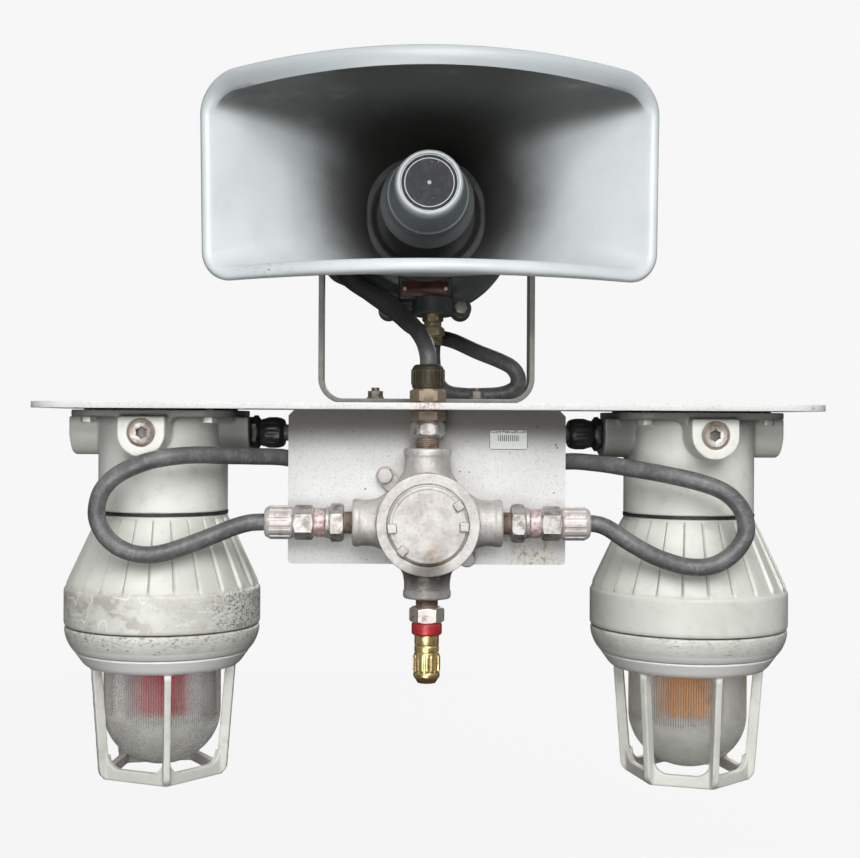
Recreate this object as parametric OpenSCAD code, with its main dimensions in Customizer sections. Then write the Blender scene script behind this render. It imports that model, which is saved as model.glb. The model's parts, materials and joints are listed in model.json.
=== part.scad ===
// Alarm station: a horn on a tilting yoke above a shelf plate, two guarded strobes
// hanging below it, and a conduit box in the middle that feeds all three by cable.
// Millimetres. X is to the right, Y runs from the front to the back, Z is up.
// The origin is the centre of the shelf's four mounting bolts, on its top face.

/* [Shelf and plate] */
// Width of the shelf plate
shelf_w = 738; // [720:1:780]
// Depth of the shelf plate
shelf_d = 210; // [204:1:240]
// Thickness of the shelf plate
shelf_t = 6; // [5:0.5:6]
// Corner radius of the shelf plate
shelf_r = 36; // [20:1:45]
// Distance between mounting bolts, left to right
mount_dx = 300; // [290:1:310]
// Distance between mounting bolts, front to back
mount_dy = 160; // [150:1:170]
// Diameter of the mounting holes
mount_hole = 11; // [9:0.5:13]
// Width of the upright back plate
plate_w = 264; // [250:1:270]
// Height of the upright back plate
plate_h = 147; // [145:1:150]
// Thickness of the upright back plate
plate_t = 3; // [2:0.5:4]

/* [Strobes] */
// Distance of each strobe from the middle
strobe_x = 257; // [255:1:262]
// Turn of the strobe hoods, front hubs outwards
hood_yaw = 5; // [0:1:6]
// Outer radius of the hood barrel
barrel_r = 62.7; // [62:0.1:64]
// Outer radius of the lamp housing's band
band_r = 95; // [94:0.5:97]
// Number of flutes round the lamp housing
flutes = 24; // [20:1:30]
// Outer radius of the clear globe
globe_r = 57; // [55:0.5:57.5]
// Number of bars in the left strobe's guard
left_guard_bars = 5; // [4:1:8]
// Number of bars in the right strobe's guard
right_guard_bars = 6; // [4:1:8]
// Turn of the guards, front bar to the right
guard_turn = 13; // [0:1:36]

/* [Conduit box] */
// Height of the box centre, below the shelf top
box_drop = 112; // [110:1:114]
// Radius of the box's front flange
box_flange_r = 47.5; // [46:0.5:49]
// Radius of the screwed cover
cover_r = 37.7; // [36:0.1:38]
// Distance from the box centre to each hub's end
hub_reach = 70; // [68:1:70]

/* [Horn] */
// Width of the horn's mouth over its rolled lip
mouth_w = 418; // [400:1:420]
// Height of the horn's mouth at its ends, over the lip
mouth_h = 188; // [180:1:192]
// How far the middle of the mouth stands in front of its ends
mouth_bulge = 80; // [60:1:90]
// Tilt of the horn at rest, mouth upwards
horn_rise = 4.5; // [0:0.5:8]
// Height of the tilt pivot above the shelf top
pivot_z = 196.5; // [190:0.5:200]
// Wall thickness of the bell
bell_t = 4; // [3:0.5:5]
// Radius of the driver's bolted flange
driver_r = 95; // [92:1:96]
// Number of bolts round the driver
driver_bolt_count = 8; // [6:1:8]

/* [Yoke and cables] */
// Width of the yoke over its legs
yoke_w = 212; // [212:1:216]
// Thickness of the yoke's strap
yoke_t = 5; // [4:0.5:5]
// Width of the yoke's strap
strap_w = 32; // [28:1:34]
// Radius of the cables
cable_r = 8; // [7:0.5:8]

/* [Hidden] */
$fn = 64;
fit = 0.05;
plate_front = -40;
plate_top = -shelf_t;
plate_bottom = plate_top - plate_h;
relief = 6;
weld_leg = 4;

hub_z = -28.7;
hub_r = 22.5;
hub_face = 88;
hub_bore = 13.1;
hood_gasket_t = 1.5;
flange_top = -shelf_t - hood_gasket_t;
flange_bottom = -14;
flange_half = 75;
flange_corner = 22;
screw_at = 58;
seam_top = -105;
seam_bottom = -107.8;
flute_bottom = -178;
band_bottom = -214.8;
ring_top = -216;
ring_bottom = -239.5;
seat_z = -236;
globe_dome_z = -300;
globe_bottom = -352;
guard_top_r = 72.5;
guard_low_r = 63.5;
bar_t = 6.5;
bar_d = 10.5;
guard_low = -362;
guard_ring_h = 11;
guard_foot_r = 10;

box_z = -box_drop;
box_axis = 64;
box_hub_r = 21.5;
nipple_r = 10.7;
box_face = 96;
shoulder = 82;
box_bolts_at = [[-39.8, 43.3], [38.5, -35]];
gland_y = -box_axis;

pivot_y = 15;
pin_r = 5;
neck_z = -40;
side_z = 105;
lip = 13;
side_cuts = 3;
corner_cuts = 5;
top_cuts = 7;
bell_steps = 10;
bullet_r = 31.4;
bullet_z = 95;
tube_r = 16;
flange_z = -87;
ear_r = 11;
ear_at = 98;
fitting_x = 8;
fitting_z = -66;
fitting_low = -131;
leg_x = yoke_w / 2;
base_bolt_x = 50;

hood_grey = [0.74, 0.74, 0.70];
shelf_white = [0.87, 0.87, 0.86];
cast_grey = [0.62, 0.61, 0.59];
driver_grey = [0.24, 0.27, 0.26];
rubber_black = [0.12, 0.12, 0.13];
rust_brown = [0.36, 0.28, 0.22];
zinc = [0.68, 0.68, 0.68];
brass_tone = [0.72, 0.58, 0.30];
horn_grey = [0.66, 0.70, 0.72];

// Cable routes, from gland to gland
left_route = [
    [-147, -64, -112], [-157, -64, -112], [-168, -66, -113], [-182, -71, -117],
    [-197, -78, -123], [-218, -86, -131], [-240, -94, -138], [-258, -98, -140], [-276, -99, -136],
    [-291, -99, -126], [-300, -99, -112], [-302, -99, -98], [-297, -99, -81],
    [-283, -99, -67], [-260, -99, -56], [-238, -96, -51], [-215, -84, -49],
    [-190, -66, -50], [-164, -46, -51], [-134, -26, -53], [-110, -14, -62],
    [-88, 2, -76], [-68, 24, -76], [-62, 36, -56], [-74, 24, -36],
    [-98, 0, -29], [-121, -11.9, -28.7], [-142, -10.06, -28.7]];
right_route = [
    [147, -64, -112], [157, -64, -112], [167, -66, -115], [178, -71, -122],
    [190, -77, -130],
    [211, -88, -141], [236, -98, -148], [258, -101, -147], [276, -101, -137],
    [288, -100, -121], [289, -99, -106], [283, -98, -92], [270, -97, -80],
    [250, -94, -72], [220, -84, -65], [190, -66, -60], [162, -46, -56],
    [134, -26, -55], [110, -14, -62], [88, 2, -76], [68, 24, -76],
    [62, 36, -56], [74, 24, -36], [98, 0, -29], [121, -11.9, -28.7],
    [142, -10.06, -28.7]];
horn_route = [
    [0, -64, 30], [0, -64, 44], [-5, -52, 61], [-17, -30, 78], [-34, -12, 95],
    [-57, 4, 109], [-73, 14, 120], [-84, 26, 131], [-91, 42, 141], [-95, 58, 146],
    [-96.5, 69.5, 142], [-90.5, 79, 134.5], [-79, 79, 129], [-67, 74, 121], [-54, 68, 111],
    [-40, 66, 101], [-26, 70.4, 90.4], [-14, 82, 81], [0, 94, 76], [16, 97, 71], [32, 89, 66],
    [54, 74, 55], [75, 63, 46], [89, 58, 38], [95, 57, 27], [92, 56, 17], [79, 56, 11],
    [60, 56, 9.5], [40, 57, 9.5], [22, 60, 13], [11, 65, 26], [8, 69.3, 46], [8, 70.4, 60.4]];

// ---- Shared shapes ----

// Upright tube from z = a to z = b
module tube(outer, inner, a, b) {
    translate([0, 0, a])
        difference() {
            cylinder(r = outer, h = b - a);
            translate([0, 0, -1]) cylinder(r = inner, h = b - a + 2);
        }
}

// Upright cylinder from z = a to z = b
module post(r, a, b) {
    translate([0, 0, a]) cylinder(r = r, h = b - a);
}

// Upright hexagon from z = a to z = b, sized across its flats
module hex(flats, a, b) {
    translate([0, 0, a]) cylinder(r = flats / sqrt(3), h = b - a, $fn = 6);
}

// Flat rectangle with round corners, centred
module rounded(w, d, r) {
    square([w - 2 * r, d], center = true);
    square([w, d - 2 * r], center = true);
    for (sx = [-1, 1], sy = [-1, 1])
        translate([sx * (w / 2 - r), sy * (d / 2 - r)]) circle(r = r);
}

// Local Z along the fitting's axis, for the box's hubs at 0, 90, 180 and 270 degrees
module from_box(turn) {
    translate([0, gland_y, box_z]) rotate([0, turn, 0]) children();
}

// Local Z towards the front, for the box
module box_frame() {
    translate([0, 0, box_z]) rotate([90, 0, 0]) children();
}

// Local Z forwards and Y upwards from the tilt pivot, for the horn
module horn_frame() {
    translate([0, pivot_y, pivot_z]) rotate([-horn_rise, 0, 0]) rotate([90, 0, 0]) children();
}

module strobe_frame(side) {
    translate([side * strobe_x, 0, 0]) children();
}

// Local Z outwards along a hood hub; hub 0 is the inner one and hub 1 the front one
module hood_hub_frame(side, hub) {
    strobe_frame(side)
        rotate([0, 0, side * hood_yaw])
            rotate([0, 0, side > 0 ? 180 + 90 * hub : -90 * hub])
                translate([0, 0, hub_z])
                    rotate([0, 90, 0]) children();
}

module ribbed_cap(r, a, b, ribs, bore) {
    difference() {
        union() {
            post(r - 1.2, a, b - 3);
            translate([0, 0, b - 3]) cylinder(r1 = r - 1.2, r2 = r - 4, h = 3);
            for (k = [0:ribs - 1])
                rotate(k * 360 / ribs)
                    translate([r - 3, -1.6, a + 1]) cube([3, 3.2, b - a - 5]);
        }
        post(bore, a - 1, b + 1);
    }
}

// ---- Swept cables ----

function unit(v) = v / norm(v);
function heading(p, i) = unit(p[min(i + 1, len(p) - 1)] - p[max(i - 1, 0)]);
// Side vectors that follow the route without twisting
function sides(p, i, u) =
    i == len(p) ? [] :
    let (t = heading(p, i), v = unit(u - (u * t) * t))
    concat([v], sides(p, i + 1, v));
function ring_points(c, t, u, r, n) =
    let (w = cross(t, u))
    [for (k = [0:n - 1]) c + r * cos(k * 360 / n) * u + r * sin(k * 360 / n) * w];

module cable(p, r, n = 10) {
    u = sides(p, 0, [0, 1, 0.2]);
    points = [for (i = [0:len(p) - 1]) each ring_points(p[i], heading(p, i), u[i], r, n)];
    last = (len(p) - 1) * n;
    walls = [for (i = [0:len(p) - 2], k = [0:n - 1])
        [i * n + k, i * n + (k + 1) % n, (i + 1) * n + (k + 1) % n, (i + 1) * n + k]];
    polyhedron(points, concat([for (f = walls) [f[3], f[2], f[1], f[0]]], [[for (k = [0:n - 1]) k]],
        [[for (k = [n - 1:-1:0]) last + k]]), convexity = 10);
}

// ---- Shelf and back plate ----

module shelf_plate() {
    color(shelf_white)
        difference() {
            translate([0, 0, -shelf_t])
                linear_extrude(shelf_t) rounded(shelf_w, shelf_d, shelf_r);
            for (sx = [-1, 1], sy = [-1, 1])
                translate([sx * mount_dx / 2, sy * mount_dy / 2, 0])
                    post(mount_hole / 2, -shelf_t - 1, 1);
            translate([0, gland_y, 0]) post(nipple_r + fit, -shelf_t - 1, 1);
            for (sx = [-1, 1])
                translate([sx * base_bolt_x, pivot_y, 0]) post(4 + fit, -shelf_t - 1, 1);
            for (side = [-1, 1])
                hood_screw_places(side) post(4 + fit, -shelf_t - 1, -1);
        }
}

module back_plate() {
    half = plate_w / 2;
    color(shelf_white)
        difference() {
            translate([0, plate_front + plate_t, 0])
                rotate([90, 0, 0])
                    linear_extrude(plate_t)
                        difference() {
                            union() {
                                translate([-half, plate_bottom + 4]) square([plate_w, plate_h - 4]);
                                translate([-half + 4, plate_bottom]) square([plate_w - 8, 10]);
                                for (sx = [-1, 1])
                                    translate([sx * (half - 4), plate_bottom + 4]) circle(r = 4);
                            }
                            for (sx = [-1, 1])
                                translate([sx * half, plate_top]) circle(r = relief, $fn = 4);
                        }
            box_frame()
                for (b = box_bolts_at)
                    translate([b[0], b[1], 0]) post(4 + fit, 30, 50);
        }
    // fillet weld that holds the plate under the shelf, behind it
    color(shelf_white)
        translate([-half + 12, plate_front + plate_t, plate_top])
            rotate([90, 0, 90])
                linear_extrude(plate_w - 24)
                    polygon([[0, 0], [weld_leg, 0], [0, -weld_leg]]);
}

// ---- Strobe hoods ----

module hood_screw_places(side) {
    strobe_frame(side)
        rotate([0, 0, side * hood_yaw])
            for (sx = [-1, 1], sy = [-1, 1])
                translate([sx * screw_at, sy * screw_at, 0]) children();
}

module hood(side) {
    color(hood_grey)
        difference() {
            union() {
                strobe_frame(side)
                    rotate([0, 0, side * hood_yaw])
                        translate([0, 0, flange_bottom])
                            linear_extrude(flange_top - flange_bottom)
                                rounded(2 * flange_half, 2 * flange_half, flange_corner);
                strobe_frame(side) post(barrel_r, seam_top, flange_bottom + 1);
                for (hub = [0:3])
                    hood_hub_frame(side, hub)
                        intersection() {
                            translate([hub_z - flange_bottom - 0.5, -30, 40])
                                cube([60, 60, hub_face - 40]);
                            union() {
                                post(hub_r, 39, hub_face + 1);
                                translate([-30, -hub_r, 39])
                                    cube([30, 2 * hub_r, hub_face - 38]);
                            }
                        }
            }
            strobe_frame(side) post(56, seam_top - 1, -18);
            for (hub = [0:3])
                hood_hub_frame(side, hub) post(hub_bore, 30, hub_face + 1);
            hood_screw_places(side) post(4 + fit, -30, 1);
        }
}

module hood_screws() {
    color(zinc)
        for (side = [-1, 1])
            hood_screw_places(side) {
                hex(13, flange_bottom - 5.5, flange_bottom);
                post(4, flange_bottom - 1, -1.2);
            }
}

module hood_plugs() {
    color(zinc)
        for (side = [-1, 1], hub = [1:3])
            hood_hub_frame(side, hub)
                difference() {
                    post(hub_bore - fit, hub_face - 17, hub_face - 1);
                    hex(9.5, hub_face - 9, hub_face);
                }
}

module hood_glands() {
    color([0.1, 0.1, 0.1])
        for (side = [-1, 1])
            hood_hub_frame(side, 0)
                difference() {
                    union() {
                        post(hub_bore - fit, hub_face - 12, hub_face);
                        hex(29, hub_face, hub_face + 8);
                        post(12, hub_face + 8, hub_face + 14);
                        post(15, hub_face + 14, hub_face + 29);
                        translate([0, 0, hub_face + 29]) cylinder(r1 = 15, r2 = 12, h = 3);
                    }
                    post(cable_r + 0.6, hub_face + 23, hub_face + 33);
                    post(5, hub_face - 13, hub_face + 24);
                }
}

module hood_gaskets() {
    color(rubber_black)
        for (side = [-1, 1])
            strobe_frame(side) {
                tube(70, 50, flange_top, -shelf_t);
                tube(barrel_r + 0.6, 56.2, seam_bottom, seam_top);
            }
}

// ---- Lamp housing and what it holds ----

// Saw-tooth outline with one tooth per flute, at a root radius of r
function ratchet(r, tooth) =
    [for (k = [0:flutes - 1])
        each [[r * cos(k * 360 / flutes), r * sin(k * 360 / flutes)],
              [(r + tooth) * cos((k + 0.82) * 360 / flutes), (r + tooth) * sin((k + 0.82) * 360 / flutes)]]];

module housing(side) {
    cone_top = 62.5;
    cone_low = 92;
    color(hood_grey)
        strobe_frame(side) {
            rotate_extrude()
                polygon([
                    [55.8, seam_bottom + 14], [55.8, seam_bottom], [barrel_r, seam_bottom],
                    [barrel_r, seam_bottom - 3], [cone_low, flute_bottom + 1], [band_r, flute_bottom - 3],
                    [band_r, band_bottom + 2], [band_r - 2, band_bottom], [82, band_bottom],
                    [82, seat_z], [66, seat_z], [66, -226], [58, -226], [58, -221],
                    [86, -208], [86, flute_bottom - 6], [52, seam_bottom - 8],
                    [52, seam_bottom + 14]]);
            // flutes, proud of the cone and fading into the band
            difference() {
                translate([0, 0, flute_bottom])
                    linear_extrude(
                        height = seam_bottom - 2 - flute_bottom, scale = cone_top / cone_low)
                        polygon(ratchet(cone_low - 1, 3.2));
                translate([0, 0, flute_bottom - 1])
                    cylinder(
                        r1 = cone_low - 4, r2 = cone_top - 4,
                        h = seam_bottom - flute_bottom);
            }
        }
}

module board(side) {
    color([0.15, 0.42, 0.2])
        strobe_frame(side) {
            tube(65, 6, -227.6, -226);
            translate([-22, 4, -226]) cube([26, 30, 24]);
            translate([18, -12, -226]) cylinder(r = 11, h = 30);
            translate([-20, -34, -226]) cube([30, 18, 10]);
        }
}

module flash_tube(side) {
    arm = 11;
    color([0.92, 0.92, 0.88])
        strobe_frame(side) {
            for (s = [-1, 1])
                translate([s * arm, 0, 0]) post(4, -285, -252);
            translate([0, 0, -285])
                rotate([-90, 0, 0])
                    rotate_extrude(angle = 180) translate([arm, 0]) circle(r = 4);
        }
}

module tube_base(side) {
    color([0.9, 0.9, 0.88])
        strobe_frame(side)
            rotate_extrude()
                polygon([
                    [0, -228], [14, -228], [14, -244], [33, -246], [33, -249],
                    [27, -249], [27, -252], [0, -252]]);
}

module color_lens(side, tone) {
    color(tone)
        strobe_frame(side)
            difference() {
                union() {
                    post(30, -304, -249);
                    translate([0, 0, -304]) cylinder(r1 = 24, r2 = 30, h = 8);
                    for (k = [0:23])
                        rotate(k * 15) translate([29, -1.2, -300]) cube([2, 2.4, 49]);
                }
                post(27.3, -301, -248);
            }
}

module lens_ring(side) {
    color(hood_grey)
        strobe_frame(side)
            rotate_extrude()
                polygon([
                    [82.3, ring_top], [94, ring_top], [94, -221], [92.6, -227],
                    [89.8, -233], [85.5, ring_bottom], [73, ring_bottom],
                    [73, -237.3], [82.3, -237.3]]);
}

// One upright guard bar as seen edge-on, leaning in and rounded at its foot
module guard_bar() {
    foot = guard_low_r + 1 - guard_foot_r;
    translate([0, bar_t / 2, 0])
        rotate([90, 0, 0])
            linear_extrude(bar_t)
                polygon(concat(
                    [[guard_top_r - bar_d + 1, -250], [guard_top_r, -250]],
                    [for (a = [0:15:90])
                        [foot + guard_foot_r * cos(a), guard_low + guard_foot_r * (1 - sin(a))]],
                    [[guard_low_r - bar_d + 1, guard_low]]));
}

module guard(side) {
    bars = side < 0 ? left_guard_bars : right_guard_bars;
    corner = guard_low_r - 5.5;
    span = 2 * corner * sin(180 / bars);
    mid = corner * cos(180 / bars);
    color(hood_grey)
        strobe_frame(side) {
            rotate_extrude()
                polygon([
                    [73, ring_bottom - 0.5], [84.6, ring_bottom - 0.5], [80.5, -246.5],
                    [76.5, -252], [72.5, -255], [59, -255], [59, -244.3], [73, -244.3]]);
            for (k = [0:bars - 1])
                rotate(guard_turn - 90 + k * 360 / bars) {
                    guard_bar();
                    // ring side from this bar to the next
                    rotate(180 / bars)
                        translate([mid - bar_t + 2, -span / 2, guard_low])
                            cube([bar_t, span, guard_ring_h]);
                    translate([corner - bar_t / 2 + 1, 0, guard_low])
                        cylinder(r = bar_t / 2 + 1, h = guard_ring_h);
                }
        }
}

module globe(side) {
    wall = 4;
    dome = globe_dome_z - globe_bottom;
    arc = [for (a = [0:10:90]) [globe_r * cos(a), globe_dome_z - dome * sin(a)]];
    inner = [for (a = [90:-10:0]) [(globe_r - wall) * cos(a), globe_dome_z - (dome - wall) * sin(a)]];
    color([0.85, 0.88, 0.88, 0.5])
        strobe_frame(side)
            rotate_extrude()
                polygon(concat(
                    [[globe_r, -244], [globe_r, globe_dome_z]], arc, inner,
                    [[globe_r - wall, -238], [72, -238], [72, -244]]));
}

module globe_gasket(side) {
    color(rubber_black)
        strobe_frame(side) tube(71, 60, -238, seat_z);
}

// ---- Conduit box ----

module box_body() {
    color(cast_grey)
        difference() {
            union() {
                box_frame() {
                    post(43, -plate_front, box_face - 7);
                    post(box_flange_r, box_face - 8, box_face);
                    for (b = box_bolts_at) {
                        reach = norm(b);
                        rotate(atan2(b[1], b[0])) {
                            translate([30, -8.5, -plate_front]) cube([reach - 30, 17, 5]);
                            translate([reach, 0, -plate_front]) cylinder(r = 8.5, h = 5);
                        }
                    }
                }
                for (turn = [0:90:270])
                    from_box(turn) post(box_hub_r, 0, hub_reach);
            }
            box_frame() {
                post(34, -plate_front + 6, shoulder + 1);
                post(cover_r + 0.08, shoulder, box_face + 1);
                for (b = box_bolts_at)
                    translate([b[0], b[1], 0]) post(4 + fit, 30, 60);
            }
            for (turn = [0:90:270])
                from_box(turn) post(nipple_r + fit, 20, hub_reach + 1);
        }
}

module box_bolts() {
    color(zinc)
        box_frame()
            for (b = box_bolts_at)
                translate([b[0], b[1], 0]) {
                    post(8, -plate_front + 5, -plate_front + 6.5);
                    hex(13, -plate_front + 6.5, -plate_front + 12);
                    post(4, -plate_front - plate_t - 8, -plate_front + 7);
                    hex(13, -plate_front - plate_t - 6.5, -plate_front - plate_t);
                }
}

module terminal_block() {
    color([0.9, 0.88, 0.8])
        box_frame()
            difference() {
                translate([-20, -8, -plate_front + 6]) cube([40, 16, 14]);
                for (k = [-1.5:1:1.5])
                    translate([k * 9, 3, 0]) post(2, -plate_front + 12, -plate_front + 21);
            }
}

module box_cover() {
    color(cast_grey)
        box_frame() {
            post(cover_r, shoulder + 2, box_face + 1);
            post(cover_r - 2, box_face, box_face + 2.5);
            // pry lugs in two pairs
            for (a = [-2, 33, 185, 225])
                rotate(a)
                    translate([cover_r - 10, -3.5, box_face + 2])
                        cube([7, 7, 4]);
        }
}

module cover_o_ring() {
    color(rubber_black)
        box_frame() tube(37, 34.5, shoulder, shoulder + 2);
}

// ---- Fittings on the box's hubs ----

module conduit_nipples() {
    color(rust_brown) {
        for (turn = [90, 180, 270])
            from_box(turn) tube(nipple_r, 7.5, hub_reach - 14, hub_reach + 8);
        translate([0, gland_y, 0]) tube(nipple_r, 7.5, box_z + hub_reach - 14, -32);
    }
}

module union_nut(a, b) {
    difference() {
        intersection() {
            hex(31.5, a, b);
            translate([0, 0, a]) cylinder(r1 = 16.6, r2 = 16.6 + (b - a), h = b - a);
            translate([0, 0, a]) cylinder(r1 = 16.6 + (b - a), r2 = 16.6, h = b - a);
        }
        post(7.5, a - 1, b + 1);
    }
}

module side_unions() {
    color(zinc)
        for (turn = [90, 270])
            from_box(turn) union_nut(hub_reach + 8, hub_reach + 25);
}

module gland_rings() {
    color([0.6, 0.25, 0.22]) {
        for (turn = [90, 270])
            from_box(turn) tube(13.5, 7.5, hub_reach + 25, hub_reach + 36);
        from_box(180) tube(14, 7.5, hub_reach + 23, hub_reach + 34);
    }
}

module side_gland_body(turn) {
    color(zinc)
        from_box(turn)
            difference() {
                hex(28.5, hub_reach + 36, hub_reach + 55);
                post(7.5, hub_reach + 35, hub_reach + 56);
            }
}

module side_gland_caps() {
    color(zinc)
        for (turn = [90, 270])
            from_box(turn)
                ribbed_cap(15.8, hub_reach + 55, hub_reach + 82, 12, cable_r + 0.6);
}

module gland_seals() {
    color(rubber_black) {
        for (turn = [90, 270])
            from_box(turn) tube(cable_r + 0.5, 5, hub_reach + 55, hub_reach + 77);
        translate([0, gland_y, 0]) tube(cable_r + 0.5, 5, 13.4, 30);
        from_box(180) tube(7.4, 4.2, hub_reach + 50, hub_reach + 60);
    }
}

module top_reducer() {
    color(zinc)
        translate([0, gland_y, 0])
            rotate_extrude()
                polygon([
                    [7.5, -32], [12.5, -32], [16.5, -29], [16.5, -20], [14, -17.5], [7.5, -17.5]]);
}

module top_locknut() {
    color(rust_brown)
        translate([0, gland_y, 0])
            difference() {
                hex(29, -17.5, -shelf_t);
                post(nipple_r + fit, -18.5, -shelf_t + 1);
            }
}

module top_gland_body() {
    color([0.6, 0.48, 0.36])
        translate([0, gland_y, 0])
            difference() {
                union() {
                    hex(29.5, 0, 13.4);
                    post(nipple_r, -17.5, 1);
                }
                post(7.5, -18.5, 15);
            }
}

module top_gland_cap() {
    color([0.38, 0.32, 0.22])
        translate([0, gland_y, 0])
            ribbed_cap(15.8, 13.4, 36, 20, cable_r + 0.6);
}

module bottom_union() {
    color(rust_brown)
        from_box(180)
            difference() {
                hex(28.5, hub_reach + 8, hub_reach + 23);
                post(7.5, hub_reach + 7, hub_reach + 24);
            }
}

module bottom_gland_body() {
    color(brass_tone)
        from_box(180)
            difference() {
                post(11.5, hub_reach + 34, hub_reach + 50);
                post(7.5, hub_reach + 33, hub_reach + 51);
            }
}

module bottom_gland_cap() {
    color(brass_tone)
        from_box(180)
            difference() {
                union() {
                    ribbed_cap(12.8, hub_reach + 50, hub_reach + 73, 24, 5);
                    tube(9, 5, hub_reach + 70, hub_reach + 79);
                }
                post(7.45, hub_reach + 49, hub_reach + 60);
            }
}

// ---- Cables ----

module left_cable() {
    color(rubber_black) cable(left_route, cable_r);
}

module right_cable() {
    color(rubber_black) cable(right_route, cable_r);
}

module horn_cable() {
    color(rubber_black) cable(horn_route, cable_r);
}

// ---- Yoke ----

module yoke() {
    bend = 25;
    color(driver_grey)
        difference() {
            translate([0, pivot_y - strap_w / 2, 0]) {
                translate([-leg_x + bend, 0, 0]) cube([yoke_w - 2 * bend, strap_w, yoke_t]);
                for (sx = [-1, 1]) {
                    translate([sx > 0 ? leg_x - yoke_t : -leg_x, 0, bend])
                        cube([yoke_t, strap_w, pivot_z - bend]);
                    translate([sx * (leg_x - bend), strap_w, bend])
                        rotate([90, 0, 0])
                            linear_extrude(strap_w)
                                intersection() {
                                    difference() {
                                        circle(r = bend);
                                        circle(r = bend - yoke_t);
                                    }
                                    translate([sx > 0 ? 0 : -bend, -bend]) square(bend);
                                }
                    translate([sx > 0 ? leg_x - yoke_t : -leg_x, strap_w / 2, pivot_z])
                        rotate([0, 90, 0]) cylinder(r = strap_w / 2, h = yoke_t);
                }
            }
            translate([0, pivot_y, pivot_z])
                rotate([0, 90, 0]) post(pin_r + fit, -leg_x - 1, leg_x + 1);
            for (sx = [-1, 1])
                translate([sx * base_bolt_x, pivot_y, 0]) post(4 + fit, -1, yoke_t + 1);
        }
}

module yoke_bolts() {
    color(zinc) {
        for (sx = [-1, 1])
            translate([sx * base_bolt_x, pivot_y, 0]) {
                post(8.5, yoke_t, yoke_t + 1.6);
                hex(13, yoke_t + 1.6, yoke_t + 7.6);
                post(4, -shelf_t - 8, yoke_t + 11);
                hex(13, -shelf_t - 6.5, -shelf_t);
            }
        for (turn = [-90, 90])
            translate([0, pivot_y, pivot_z])
                rotate([0, turn, 0]) {
                    post(pin_r, leg_x - 12, leg_x + 1);
                    post(10, leg_x, leg_x + 1.8);
                    hex(17, leg_x + 1.8, leg_x + 8);
                }
    }
}

// ---- Horn ----

// Half width, half height, corner radius and forward place of the bell's wall,
// from its neck (u = 0) to its mouth (u = 1)
function half_wide(u) = 60 + (mouth_w / 2 - lip - 60) * pow(u, 1.6);
function half_high(u) = 60 + (mouth_h / 2 - lip + 2 - 60) * pow(u, 0.9);
function corner(u) = 54 - 26 * u;
function side_place(u) = neck_z + (side_z - neck_z) * u;

// A quarter of a rectangle with round corners: half its side, the corner, half its top
function quarter(a, b, r) = concat(
    [for (k = [1:side_cuts]) [a, (b - r) * (k - 0.5) / side_cuts]],
    [for (k = [0:corner_cuts]) [a - r + r * cos(90 * k / corner_cuts), b - r + r * sin(90 * k / corner_cuts)]],
    [for (k = [top_cuts:-1:1]) [(a - r) * (k - 0.5) / top_cuts, b]]);
function backwards(list) = [for (k = [len(list) - 1:-1:0]) list[k]];
function outline(q) = concat(
    q,
    [for (v = backwards(q)) [-v[0], v[1]]],
    [for (v = q) [-v[0], -v[1]]],
    [for (v = backwards(q)) [v[0], -v[1]]]);

// One ring of the bell, grown outwards by grow and moved forwards by push
function bell_ring(u, grow, push) =
    let (a = half_wide(u) + grow, b = half_high(u) + grow)
    [for (v = outline(quarter(a, b, corner(u) + grow)))
        let (bow = 1 - pow(v[0] / a, 2))
        [v[0] * (1 + 0.012 * u * v[1] / b), v[1] * (1 + 5 * u * bow / b),
         side_place(u) + push + mouth_bulge * pow(u, 1.6) * bow]];

module horn_bell() {
    rings = concat(
        [for (i = [0:bell_steps]) bell_ring(i / bell_steps, 0, 0)],
        [bell_ring(1, lip * 0.4, 3), bell_ring(1, lip * 0.85, 2), bell_ring(1, lip, -3),
         bell_ring(1, lip * 0.9, -10), bell_ring(1, bell_t, -13)],
        [for (i = [bell_steps - 1:-1:0]) bell_ring(i / bell_steps, bell_t, 0)]);
    m = len(rings);
    n = len(rings[0]);
    color(horn_grey)
        horn_frame()
            polyhedron(
                [for (r = rings) each r],
                [for (i = [0:m - 1], k = [0:n - 1])
                    [i * n + k, i * n + (k + 1) % n,
                     ((i + 1) % m) * n + (k + 1) % n, ((i + 1) % m) * n + k]],
                convexity = 10);
}

module horn_base() {
    arm_x = leg_x - yoke_t - 0.3;
    color(driver_grey)
        horn_frame()
            difference() {
                union() {
                    rotate_extrude()
                        polygon([
                            [12, -50], [66, -50], [69, -46], [69, neck_z], [56, neck_z],
                            [50, -44], [tube_r + 8, -44], [tube_r, -34], [tube_r, 70],
                            [12, 70]]);
                    for (sx = [-1, 1]) {
                        translate([sx > 0 ? 55 : -arm_x, -12, -50]) cube([arm_x - 55, 24, 8]);
                        translate([sx > 0 ? arm_x - 7 : -arm_x, -12, -50]) cube([7, 24, 50]);
                        translate([sx > 0 ? arm_x - 7 : -arm_x, 0, 0])
                            rotate([0, 90, 0]) cylinder(r = 12, h = 7);
                    }
                }
                rotate([0, 90, 0]) post(pin_r + fit, -leg_x, leg_x);
                post(12, -51, 71);
            }
}

module horn_bullet() {
    color(horn_grey)
        horn_frame() {
            rotate_extrude()
                polygon([
                    [0, bullet_z], [26.8, bullet_z], [27.4, bullet_z + 1.2], [30, bullet_z + 1.2],
                    [bullet_r, bullet_z - 1], [34, 74], [36.6, 56], [37.8, 50], [39.4, 49],
                    [39.4, 45], [38.6, 43], [40, 30], [46.6, 15], [43.6, 15], [36.5, 31],
                    [34, 56], [31, 74], [28, bullet_z - 3], [0, bullet_z - 3]]);
            for (a = [90, 210, 330])
                rotate(a) translate([tube_r, -1.5, 34]) cube([21, 3, 24]);
        }
}

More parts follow.
